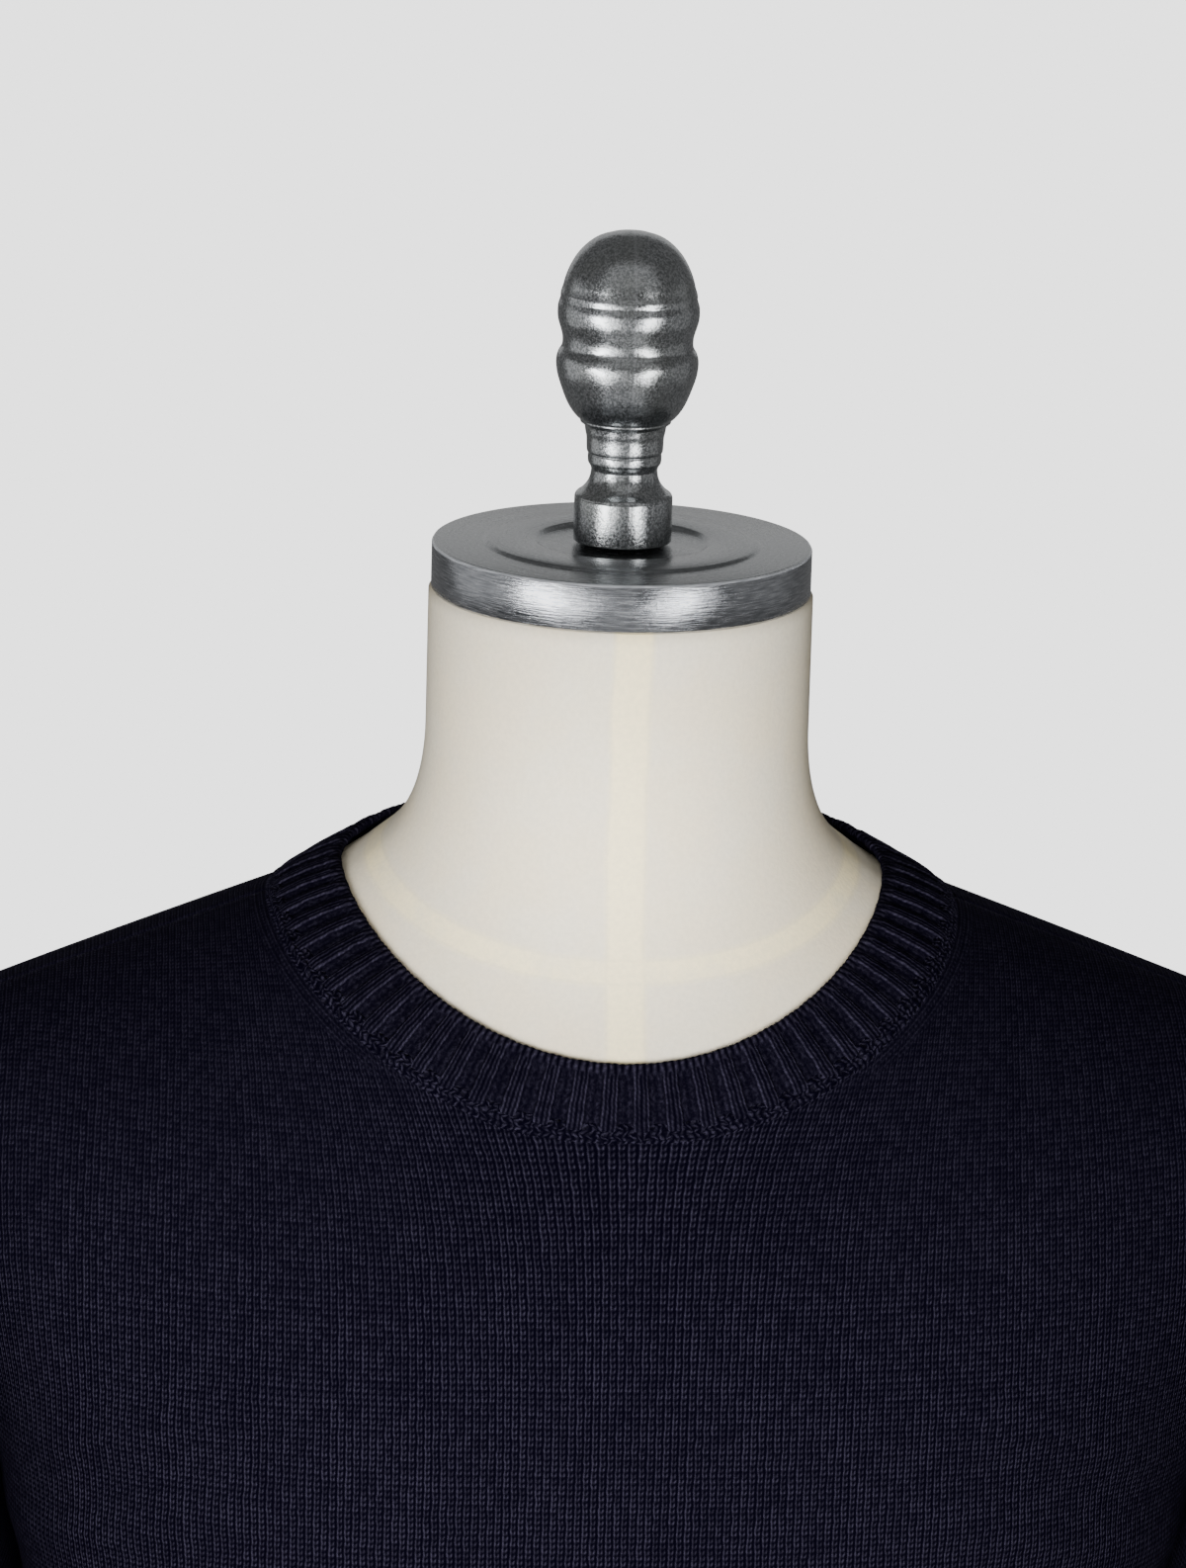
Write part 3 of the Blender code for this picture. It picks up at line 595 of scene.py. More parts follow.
def ring_angles(steps):
    """Angles that spread a sleeve ring's points evenly by length: equal lengths, read back as
    angles."""
    dense = np.linspace(0, 2 * np.pi, RING_DENSE + 1)
    length = lengths(sleeve_ring(SLEEVE_RINGS[EVEN_RING], dense))
    return np.interp(np.linspace(0, length[-1], steps + 1)[:-1], length, dense)


def smooth_rings(rings, steps):
    """More rings between the given ones, by a cubic through them (Catmull-Rom)."""
    padded = np.concatenate([2 * rings[:1] - rings[1:2], rings, 2 * rings[-1:] - rings[-2:-1]])
    out = []
    for i in range(len(rings) - 1):
        a, b, c, d = padded[i : i + 4]
        second = 2 * a - 5 * b + 4 * c - d
        third = 3 * b - a - 3 * c + d
        for t in np.linspace(0, 1, steps, endpoint=False):
            out.append(0.5 * (2 * b + (c - a) * t + second * t**2 + third * t**3))
    out.append(rings[-1])
    return np.array(out)


def blend_round(table, angles):
    """Front, side and back values, blended round the neck by the squares of sine and cosine."""
    forward = np.sin(angles)
    end = np.where(forward > 0, table["front"], table["back"])
    return table["side"] + (end - table["side"]) * forward**2


# ---------------------------------------------------------------- meshes


def patch(points, uv=None, around=False, flip=False, **values):
    """A grid of points with its stitch map and named values, ready for make_mesh. A grid that goes
    around closes on itself, and flip turns its faces the other way."""
    return {"points": points, "uv": uv, "around": around, "flip": flip, "values": values}


def make_mesh(name, patches):
    """One object from several grids, with a face in every cell of each. A grid that goes around has
    one more column of uv than of points."""
    points, faces, corners = [], [], []
    values = {}
    offset = 0
    for part in patches:
        grid = part["points"]
        rows, columns = grid.shape[:2]
        index = np.arange(rows * columns).reshape(rows, columns) + offset
        if part["around"]:
            index = np.concatenate([index, index[:, :1]], axis=1)
        uv = part["uv"] if part["uv"] is not None else np.zeros((*index.shape, 2))
        order = [(0, 0), (0, 1), (1, 1), (1, 0)]
        if part["flip"]:
            order = order[::-1]
        quads = []
        quad_uv = []
        for i, j in order:
            rows_here = slice(i, index.shape[0] - 1 + i)
            columns_here = slice(j, index.shape[1] - 1 + j)
            quads.append(index[rows_here, columns_here])
            quad_uv.append(uv[rows_here, columns_here])
        faces.append(np.stack(quads, axis=-1).reshape(-1, 4))
        corners.append(np.stack(quad_uv, axis=-2).reshape(-1, 2))
        points.append(grid.reshape(-1, 3))
        for key in part["values"]:
            values.setdefault(key, {})[offset] = part["values"][key].ravel()
        offset += rows * columns
    points = np.concatenate(points)
    mesh = bpy.data.meshes.new(name)
    mesh.from_pydata(points.tolist(), [], np.concatenate(faces).tolist())
    layer = mesh.uv_layers.new(name="stitches")
    layer.uv.foreach_set("vector", np.concatenate(corners).astype(np.float32).ravel())
    for key, blocks in values.items():
        column = np.zeros(len(points), dtype=np.float32)
        for start, block in blocks.items():
            column[start : start + len(block)] = block
        mesh.attributes.new(key, "FLOAT", "POINT").data.foreach_set("value", column)
    mesh.shade_smooth()
    made = bpy.data.objects.new(name, mesh)
    bpy.context.scene.collection.objects.link(made)
    return made


def thicken(made, thickness, outwards=True):
    """Gives an open shell the thickness of its cloth, along its normals or against them."""
    solidify = made.modifiers.new("cloth", "SOLIDIFY")
    solidify.thickness = thickness
    solidify.offset = 1.0 if outwards else -1.0
    solidify.use_even_offset = False


def turned_mesh(name, profile, zero, steps, fine):
    """A turned solid: a profile of radius and height, carried round the axis in even steps. A cubic
    adds rows between the profile's own when fine is set."""
    line = np.stack([profile["radius"], profile["height"] + zero], axis=1)
    if fine:
        line = np.concatenate([line[:1], smooth_rings(line[1:-1], fine), line[-1:]])
    angles = np.linspace(0, 2 * np.pi, steps, endpoint=False)
    radius, height = line[:, :1], line[:, 1:]
    grid = np.stack([radius * np.cos(angles), radius * np.sin(angles), height + 0 * angles], axis=-1)
    return make_mesh(name, [patch(grid, around=True, flip=True)])


# ---------------------------------------------------------------- materials


def linear(code):
    """A colour from its sRGB hex code, as linear RGBA: each part over 12.92 when it is very dark, and
    ((part + 0.055) / 1.055)^2.4 otherwise."""
    parts = [int(code[i : i + 2], 16) / 255 for i in (0, 2, 4)]
    return (*[p / 12.92 if p <= 0.04045 else ((p + 0.055) / 1.055) ** 2.4 for p in parts], 1.0)


# How fine each pattern is, in spots to the metre: one over the size of a spot
YARN_WANDER = 240.0  # the lines of yarn lean to and fro over 4 mm
LOOSE_LOOPS = 330.0  # the loops of the linking seam lie unevenly over 3 mm
UNEVEN_WOOL = 30.0  # wool takes its dye unevenly over 33 mm
FIBRE = 2200.0  # tufts 0.45 mm across, because single fibres are too fine to show
COTTON_AREAS = 26.0  # paler and warmer areas of cotton, 38 mm across
SLUBS = 620.0  # thick places in the cotton yarn every 1.6 mm, because its threads are too fine to show
SPECKS = 900.0  # dull specks of turned metal, 1.1 mm across
CAST_PITS = 1300.0  # pits of the casting, 0.8 mm across, because its grain is too fine to show
CAST_AREAS = 60.0  # duller areas of the casting, 17 mm across
RIM_STREAKS = 1900.0  # streaks of the tool up the rim, every 0.5 mm
TOP_RINGS = 1500.0  # rings of the tool on top, every 0.7 mm

# The yarn of plain knit across a wale: its place, its width, how deep it is beaded and its height. The
# left leg is higher and less beaded than the right, so the colour makes it the brighter one: painted
# light from the left
PLAIN_YARN = [
    (0.26, 0.120, 0.42, 1.00),  # the left leg, which runs on as a line
    (0.73, 0.125, 0.85, 0.92),  # the right leg, which shows as beads
    (0.50, 0.120, 1.00, 0.26),  # the low bar that joins them under a small hole
]
LEG_LEAN = 0.45  # how far the legs lean, in rows
CHAIN_LEAN = 0.6
# The raised pair of the rib, from its middle: the place, width and height of its legs
RIB_LEGS = [
    (0.84, 0.17, 1.00),
    (0.30, 0.18, 0.68),
]
RIB_TWIST, RIB_BEADS = 1.3, 0.30  # how the legs' twist leans, in rows a wale, and how deep it is
PURL_TANGLE = (2.6, 1.3)  # tangles of the sunk pair in one wale and in one row
PURL_HEIGHT, PURL_LOW = 0.34, 0.20
SUNK_FROM, SUNK_TO = 1.98, 2.10  # wales where the raised pair gives way to the sunk one
YARN_WANDERS = 0.36  # wales
EDGE_SHARE = 0.75  # how far the edge's own wales replace the panel's

# Heights and distances from the middle where the collar pulls the shoulders' stitches flat
PULLED_HEIGHT = (0.765, 0.89)
PULLED_ASIDE = (0.02, 0.11)
PULLED_SHARE = 0.50
PULLED_FLAT = 0.26  # the height of the flat stitches
PAINTED_SHADE_HEIGHT = (0.72, 0.86)  # heights over which painted shade darkens the knit towards the top, over the shoulders and collar

# Seams of the cotton cover
TAPE_HALF = 0.0062  # half width of the flat tape down the neck's front
BAND_HALF = 0.0038  # half width of the turned seam round the neck's foot
SEAM_WOBBLE = 0.004  # how far the tape strays to the sides
SEAM_LINE = linear("8d8676")
SLUB_TONE = linear("a79f8f")

# How deep each finish is, in metres
KNIT_RELIEF = 0.0006
COTTON_RELIEF = 0.0006
BRUSHED_RELIEF = 0.00007
CAST_RELIEF = 0.00003

# The worn edge between the cap's rim and top: how far in from each it starts and is complete
WORN_FROM_RIM = (0.0010, 0.0006)
WORN_FROM_TOP = (0.0011, 0.0006)
PARTING_LINE = 0.0008  # place of the casting's parting line, across
PARTING_HALF = 0.0009

# The property that the second word of a node's kind sets
SECOND_WORD = {"Math": "operation", "Mix": "data_type", "MapRange": "interpolation_type"}


def add(tree, kind, inputs=(), output=0, **settings):
    """Adds a shader node, sets its properties, and links or sets its inputs by position or name. A
    second word in its kind, as in Math ADD, is its operation, data type or interpolation. Returns one
    of its outputs. A Mix takes numbers at 2 and 3, and colours at 6 and 7."""
    kind, *words = kind.split()
    made = tree.nodes.new("ShaderNode" + kind)
    for word in words:
        setattr(made, SECOND_WORD[kind], word)
    for key, value in settings.items():
        setattr(made, key, value)
    pairs = inputs.items() if isinstance(inputs, dict) else enumerate(inputs)
    for key, value in pairs:
        if isinstance(value, bpy.types.NodeSocket):
            tree.links.new(value, made.inputs[key])
        else:
            made.inputs[key].default_value = value if np.isscalar(value) else tuple(value)
    return made.outputs[output]


def new_material(name):
    """A material with one Principled surface. Returns it, its tree and that node."""
    material = bpy.data.materials.new(name)
    material.use_nodes = True
    tree = material.node_tree
    return material, tree, tree.nodes["Principled BSDF"]


def bell(tree, value, middle, wide):
    """A soft ridge: exp(-((value - middle) / wide)^2)."""
    away = add(tree, "Math SUBTRACT", [value, middle])
    away = add(tree, "Math DIVIDE", [away, wide])
    square = add(tree, "Math MULTIPLY", [away, away])
    return add(tree, "Math EXPONENT", [add(tree, "Math MULTIPLY", [square, -1.0])])


def beads(tree, phase, depth):
    """Swings between 1 - depth and 1 once in each unit of phase, as a cosine."""
    wave = add(tree, "Math COSINE", [add(tree, "Math MULTIPLY", [phase, 2 * math.pi])])
    return add(tree, "Math MULTIPLY_ADD", [wave, depth / 2, 1 - depth / 2])


def from_middle(tree, place):
    """From 0 in the middle of a stitch to 1 at its edges: |2 place - 1|."""
    return add(tree, "Math ABSOLUTE", [add(tree, "Math MULTIPLY_ADD", [place, 2.0, -1.0])])


def flat_noise(tree, x, y, detail):
    """Noise over two coordinates, one spot to each unit of both."""
    flat = add(tree, "CombineXYZ", [x, y, 0.0])
    return add(tree, "TexNoise", {"Vector": flat, "Scale": 1.0, "Detail": detail})


def chain_loops(tree, u, v):
    """A chain of V stitches in stitch coordinates: a bell across each leg, beaded once a row, from 0
    to 1 high."""
    out = from_middle(tree, add(tree, "Math FRACT", [u]))
    phase = add(tree, "Math SUBTRACT", [v, add(tree, "Math MULTIPLY", [out, CHAIN_LEAN])])
    leg = bell(tree, out, 0.52, 0.42)
    return add(tree, "Math MULTIPLY", [leg, beads(tree, phase, 0.95)])


def plain_loops(tree, u, v):
    """Plain knit in stitch coordinates, from 0 to 1 high: the sum of a bell across each strand of
    yarn, beaded once a row. The rows lean up towards the middle of a wale."""
    place = add(tree, "Math FRACT", [u])
    out = from_middle(tree, place)
    phase = add(tree, "Math SUBTRACT", [v, add(tree, "Math MULTIPLY", [out, LEG_LEAN])])
    height = 0.0
    for middle, wide, depth, tall in PLAIN_YARN:
        strand = add(tree, "Math MULTIPLY", [bell(tree, place, middle, wide), beads(tree, phase, depth)])
        height = add(tree, "Math MULTIPLY_ADD", [strand, tall, height])
    return height


def rib_loops(tree, u, v):
    """Two by two rib in stitch coordinates: a raised pair of wales with bright outer legs and dimmer
    inner ones, each a bell that is beaded by the twist of its yarn, then a sunk pair that shows the low
    and tangled bumps of the purl side."""
    share = add(tree, "Math FRACT", [add(tree, "Math DIVIDE", [u, float(RIB_PERIOD)])])
    place = add(tree, "Math MULTIPLY", [share, RIB_PERIOD])
    out = add(tree, "Math ABSOLUTE", [add(tree, "Math SUBTRACT", [place, 1.0])])
    twist = add(tree, "Math SUBTRACT", [v, add(tree, "Math MULTIPLY", [place, RIB_TWIST])])
    legs = 0.0
    for middle, wide, tall in RIB_LEGS:
        legs = add(tree, "Math MULTIPLY_ADD", [bell(tree, out, middle, wide), tall, legs])
    pair = add(tree, "Math MULTIPLY", [legs, beads(tree, twist, RIB_BEADS)])
    across, along = PURL_TANGLE
    across = add(tree, "Math MULTIPLY", [u, across])
    tangle = flat_noise(tree, across, add(tree, "Math MULTIPLY", [v, along]), 1.0)
    tangle = add(tree, "MapRange SMOOTHSTEP", [tangle, 0.30, 0.70])
    bumps = add(tree, "Math MULTIPLY_ADD", [tangle, PURL_HEIGHT, PURL_LOW])
    bumps = add(tree, "Math MULTIPLY", [bumps, beads(tree, add(tree, "Math ADD", [place, 0.5]), 0.55)])
    sunk = add(tree, "MapRange SMOOTHSTEP", [place, SUNK_FROM, SUNK_TO])
    return add(tree, "Mix", {0: sunk, 2: pair, 3: bumps})


def knit_material(name, settings, kind):
    """Navy merino yarn, machine knitted. Wool is matt with hardly a shine, so the eye sees its loops by
    the dark gaps between lit legs of yarn, a soft fuzz and a slight relief; the colour follows the loops'
    height, so those gaps carry painted shade. The kind is plain, panel (with wales that run along the
    neck opening), rib or link."""
    material, tree, surface = new_material(name)
    stitches = add(tree, "SeparateXYZ", [add(tree, "UVMap", uv_map="stitches")])
    u, v = stitches, stitches.node.outputs[1]
    where = add(tree, "TexCoord", output=3)
    place = add(tree, "SeparateXYZ", [where])
    tall = place.node.outputs[2]
    wander = add(tree, "TexNoise", {"Vector": where, "Scale": YARN_WANDER, "Detail": 1.0})
    u = add(tree, "Math MULTIPLY_ADD", [add(tree, "Math SUBTRACT", [wander, 0.5]), YARN_WANDERS, u])
    if kind == "rib":
        height = rib_loops(tree, u, v)
        # The bound loops along the collar's fold are knots in place of the rib's legs
        border = add(tree, "Attribute", attribute_name="border", output=2)
        across = add(tree, "Math MULTIPLY_ADD", [v, 0.7, add(tree, "Math MULTIPLY", [u, 0.5])])
        knots = add(tree, "Math MULTIPLY", [beads(tree, u, 0.95), beads(tree, across, 0.35)])
        height = add(tree, "Mix", {0: border, 2: height, 3: knots})
    elif kind == "link":
        loose = add(tree, "TexNoise", {"Vector": where, "Scale": LOOSE_LOOPS}, output=1)
        loose = add(tree, "SeparateXYZ", [loose])
        u = add(tree, "Math MULTIPLY", [add(tree, "Math ADD", [u, loose]), 1.25])
        v = add(tree, "Math MULTIPLY_ADD", [loose.node.outputs[1], 1.6, v])
        height = add(tree, "Math MULTIPLY", [chain_loops(tree, u, v), 0.88])
    else:
        height = plain_loops(tree, u, v)
    if kind == "panel":
        along = add(tree, "SeparateXYZ", [add(tree, "UVMap", uv_map="edge")])
        zone = add(tree, "Attribute", attribute_name="edge_zone", output=2)
        near = add(tree, "MapRange SMOOTHSTEP", [along, EDGE_WALES + 0.3, EDGE_WALES - 0.3])
        mask = add(tree, "Math MULTIPLY", [near, add(tree, "Math MULTIPLY", [zone, EDGE_SHARE])])
        edge = plain_loops(tree, along, along.node.outputs[1])
        height = add(tree, "Mix", {0: mask, 2: height, 3: edge})
    if kind in ("plain", "panel"):
        aside = add(tree, "Math ABSOLUTE", [place])
        aside = add(tree, "MapRange SMOOTHSTEP", [aside, *PULLED_ASIDE])
        pulled = add(tree, "MapRange SMOOTHSTEP", [tall, *PULLED_HEIGHT])
        pulled = add(tree, "Math MULTIPLY", [pulled, aside])
        pulled = add(tree, "Math MULTIPLY", [pulled, PULLED_SHARE])
        height = add(tree, "Mix", {0: pulled, 2: height, 3: PULLED_FLAT})
    # Stitches, tufts of fibre and wide areas differ in how much light they take, and from the armpits up
    # the knit is painted darker towards the top: painted shade over the shoulders and collar
    one = add(tree, "CombineXYZ", [add(tree, "Math FLOOR", [u]), add(tree, "Math FLOOR", [v]), 0.0])
    stitch = add(tree, "TexWhiteNoise", {"Vector": one}, noise_dimensions="2D")
    fibre = add(tree, "TexNoise", {"Vector": where, "Scale": FIBRE, "Detail": 2.0})
    uneven = add(tree, "TexNoise", {"Vector": where, "Scale": UNEVEN_WOOL, "Detail": 3.0, "Roughness": 0.6})
    uneven = add(tree, "MapRange SMOOTHSTEP", [uneven, 0.25, 0.75])
    painted_shade = add(tree, "MapRange SMOOTHSTEP", [tall, *PAINTED_SHADE_HEIGHT])
    level = height
    for pattern, share, rest in (
        (stitch, 0.5, 0.75),
        (fibre, 1.2, 0.4),
        (uneven, 0.10, 0.95),
        (painted_shade, -0.16, 1.0),
    ):
        factor = add(tree, "Math MULTIPLY_ADD", [pattern, share, rest])
        level = add(tree, "Math MULTIPLY", [level, factor])
    level = add(tree, "Math POWER", [level, 1.5])
    # The colour runs from gap in the lowest places to yarn on the highest, so the gaps between legs, the
    # holes and the rib's sunk pairs are painted shade
    tone = add(tree, "Mix RGBA", {0: level, 6: settings.gap, 7: settings.yarn}, output=2)
    tree.links.new(tone, surface.inputs["Base Color"])
    surface.inputs["Roughness"].default_value = 0.85
    surface.inputs["Specular IOR Level"].default_value = 0.01
    relief = add(tree, "Math MULTIPLY_ADD", [fibre, 0.25, height])
    normal = add(tree, "Bump", {"Strength": 0.7, "Distance": KNIT_RELIEF, "Height": relief})
    tree.links.new(normal, surface.inputs["Normal"])
    return material


def cotton_material(settings):
    """Cream cotton, woven and stretched over a moulded form: matt and slightly uneven, with small
    slubs, a flat tape down the front of the neck and a turned seam round its foot. The tape and the
    seam catch the light as paler bands with a faint line at each edge."""
    material, tree, surface = new_material("cream cotton cover")
    where = add(tree, "TexCoord", output=3)
    place = add(tree, "SeparateXYZ", [where])
    areas = add(tree, "TexNoise", {"Vector": where, "Scale": COTTON_AREAS, "Detail": 4.0, "Roughness": 0.6})
    warm = add(tree, "MapRange SMOOTHSTEP", [areas, 0.35, 0.65])
    wobble = add(tree, "Math MULTIPLY", [add(tree, "Math SUBTRACT", [areas, 0.5]), SEAM_WOBBLE])
    beside = add(tree, "Math ABSOLUTE", [add(tree, "Math ADD", [place, wobble])])
    front = add(tree, "Math LESS_THAN", [place.node.outputs[1], 0.0])
    tape = add(tree, "MapRange SMOOTHSTEP", [beside, TAPE_HALF + 0.0016, TAPE_HALF - 0.0016])
    tape = add(tree, "Math MULTIPLY", [tape, front])
    tape_edge = add(tree, "Math ABSOLUTE", [add(tree, "Math SUBTRACT", [beside, TAPE_HALF])])
    tape_edge = add(tree, "MapRange SMOOTHSTEP", [tape_edge, 0.0009, 0.0])
    tape_edge = add(tree, "Math MULTIPLY", [tape_edge, front])
    seam = add(tree, "Math ABSOLUTE", [add(tree, "Attribute", attribute_name="seam_distance", output=2)])
    band = add(tree, "MapRange SMOOTHSTEP", [seam, BAND_HALF + 0.0018, BAND_HALF - 0.0014])
    band_edge = add(tree, "Math ABSOLUTE", [add(tree, "Math SUBTRACT", [seam, BAND_HALF])])
    band_edge = add(tree, "MapRange SMOOTHSTEP", [band_edge, 0.0008, 0.0])
    edges = add(tree, "Math MULTIPLY", [add(tree, "Math MAXIMUM", [tape_edge, band_edge]), 0.07])
    spots = add(tree, "MapRange SMOOTHSTEP", [areas, 0.40, 0.60])
    spots = add(tree, "Math MULTIPLY_ADD", [spots, 0.5, 0.5])
    slubs = add(tree, "TexNoise", {"Vector": where, "Scale": SLUBS, "Detail": 3.0, "Roughness": 0.6})
    slubs = add(tree, "MapRange SMOOTHSTEP", [slubs, 0.30, 0.70])
    tone = settings.cotton
    for share, colour in (
        (warm, settings.cotton_warm),
        (tape, settings.seam_tape),
        (add(tree, "Math MULTIPLY", [band, spots]), settings.seam_tape),
        (edges, SEAM_LINE),
        (add(tree, "Math MULTIPLY", [slubs, 0.14]), SLUB_TONE),
    ):
        tone = add(tree, "Mix RGBA", {0: share, 6: tone, 7: colour}, output=2)
    tree.links.new(tone, surface.inputs["Base Color"])
    surface.inputs["Roughness"].default_value = 0.9
    surface.inputs["Specular IOR Level"].default_value = 0.15
    raised = 0.0
    for pattern, share in ((tape, 0.4), (band, 0.3), (slubs, 0.16), (areas, 0.5)):
        raised = add(tree, "Math MULTIPLY_ADD", [pattern, share, raised])
    normal = add(tree, "Bump", {"Strength": 0.35, "Distance": COTTON_RELIEF, "Height": raised})
    tree.links.new(normal, surface.inputs["Normal"])
    return material


def brushed_material(settings):
    """Zinc alloy, turned on a lathe and brushed. The tool leaves fine streaks round the rim and faint
    rings on top, so the light smears across them, and dull specks take some of the shine. The worn
    edge between rim and top is a little less of a mirror."""
    material, tree, surface = new_material("brushed zinc alloy")
    where = add(tree, "TexCoord", output=3)
    x = add(tree, "SeparateXYZ", [where])
    y, z = x.node.outputs[1:3]
    squares = add(tree, "Math ADD", [add(tree, "Math POWER", [x, 2.0]), add(tree, "Math POWER", [y, 2.0])])
    radius = add(tree, "Math SQRT", [squares])
    angle = add(tree, "Math ARCTAN2", [y, x])
    round_rim = add(tree, "Math MULTIPLY", [angle, 9.0])
    streaks = flat_noise(tree, round_rim, add(tree, "Math MULTIPLY", [z, RIM_STREAKS]), 4.0)
    round_top = add(tree, "Math MULTIPLY", [angle, 1.5])
    rings = flat_noise(tree, add(tree, "Math MULTIPLY", [radius, TOP_RINGS]), round_top, 3.0)
    upwards = add(tree, "SeparateXYZ", [add(tree, "NewGeometry", output=1)], output=2)
    top = add(tree, "MapRange SMOOTHSTEP", [upwards, 0.6, 0.95])
    grain = add(tree, "Mix", {0: top, 2: streaks, 3: rings})
    grain = add(tree, "MapRange SMOOTHSTEP", [grain, 0.25, 0.75])
    specks = add(tree, "TexNoise", {"Vector": where, "Scale": SPECKS, "Detail": 3.0, "Roughness": 0.7})
    specks = add(tree, "MapRange SMOOTHSTEP", [specks, 0.38, 0.62])
    dull = add(tree, "Math MULTIPLY", [top, 0.35])
    pitted = add(tree, "Math MULTIPLY_ADD", [top, 0.55, 0.15])
    pitted = add(tree, "Math MULTIPLY", [specks, pitted])
    tone = settings.metal_dark
    for share, colour in (
        (grain, settings.metal),
        (dull, settings.metal_top),
        (pitted, settings.metal_pit),
    ):
        tone = add(tree, "Mix RGBA", {0: share, 6: tone, 7: colour}, output=2)
    tree.links.new(tone, surface.inputs["Base Color"])
    start, full = WORN_FROM_RIM
    outside = add(tree, "MapRange SMOOTHSTEP", [radius, CAP_RADIUS - start, CAP_RADIUS - full])
    start, full = WORN_FROM_TOP
    upper = add(tree, "MapRange SMOOTHSTEP", [z, CAP_TOP - start, CAP_TOP - full])
    edge = add(tree, "Math MULTIPLY", [outside, upper])
    metallic = add(tree, "Math MULTIPLY_ADD", [edge, -0.55, 1.0])
    tree.links.new(metallic, surface.inputs["Metallic"])
    rough = add(tree, "Math MULTIPLY_ADD", [grain, 0.14, 0.15])
    tree.links.new(rough, surface.inputs["Roughness"])
    height = add(tree, "Math MULTIPLY_ADD", [specks, 0.3, grain])
    normal = add(tree, "Bump", {"Strength": 0.6, "Distance": BRUSHED_RELIEF, "Height": height})
    tree.links.new(normal, surface.inputs["Normal"])
    return material


def cast_material(settings):
    """Zinc alloy, cast and left satin. Its skin of very fine pits breaks the edges of every highlight,
    wide areas are duller, and the two halves of the mould leave a faint line up its sides, raised in the
    relief and painted brighter as a painted highlight."""
    material, tree, surface = new_material("satin cast zinc alloy")
    where = add(tree, "TexCoord", output=3)
    place = add(tree, "SeparateXYZ", [where])
    pits = add(tree, "TexNoise", {"Vector": where, "Scale": CAST_PITS, "Detail": 2.0, "Roughness": 0.7})
    pits = add(tree, "MapRange SMOOTHSTEP", [pits, 0.32, 0.68])
    areas = add(tree, "TexNoise", {"Vector": where, "Scale": CAST_AREAS, "Detail": 3.0})
    dull = add(tree, "MapRange SMOOTHSTEP", [areas, 0.35, 0.7])
    dull = add(tree, "Math MULTIPLY", [dull, 0.4])
    line = add(tree, "Math ABSOLUTE", [add(tree, "Math SUBTRACT", [place, PARTING_LINE])])
    line = add(tree, "MapRange SMOOTHSTEP", [line, PARTING_HALF, 0.0])
    # The parting line is painted brighter than the skin around it: a painted highlight along its ridge
    line_glint = add(tree, "Math MULTIPLY", [line, 0.5])
    tone = settings.metal_pit
    bright = settings.metal_bright
    for share, colour in ((pits, bright), (dull, settings.metal_top), (line_glint, bright)):
        tone = add(tree, "Mix RGBA", {0: share, 6: tone, 7: colour}, output=2)
    tree.links.new(tone, surface.inputs["Base Color"])
    surface.inputs["Metallic"].default_value = 1.0
    rough = add(tree, "Math MULTIPLY_ADD", [pits, 0.10, 0.16])
    tree.links.new(rough, surface.inputs["Roughness"])
    height = add(tree, "Math MULTIPLY_ADD", [areas, 0.5, pits])
    height = add(tree, "Math MULTIPLY_ADD", [line, 1.2, height])
    normal = add(tree, "Bump", {"Strength": 0.5, "Distance": CAST_RELIEF, "Height": height})
    tree.links.new(normal, surface.inputs["Normal"])
    return material


# ---------------------------------------------------------------- pieces


def dress(made, material, *replaced, slot=None):
    """Gives a piece its material, lets it ride on the part's one body, and hides the CAD nodes that it
    stands for."""
    made.data.materials.clear()
    made.data.materials.append(material)
    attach(made, "root")
    if replaced:
        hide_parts(*replaced)
    return made


# How the panels' wales crowd together beside the neck
CROWDING = {-1: 0.38, 1: 0.30}  # at the opening, on the front (-1) and the back (1)
CROWD_DOWN = 0.024  # fades over this distance from the opening
CROWD_ACROSS = 0.13  # and over this distance from the middle
NECK_POINTS = 1440  # of the opening, which distances are measured from
AT_ONCE = 1000  # points whose distances are worked out together
EDGE_ZONE_END = 64  # degrees from the side of the neck where its edge's own wales have faded out
EDGE_ZONE_FADE = 26
BODY_MIDDLE = (0, RIDGE_Y, CHEST - 0.2)


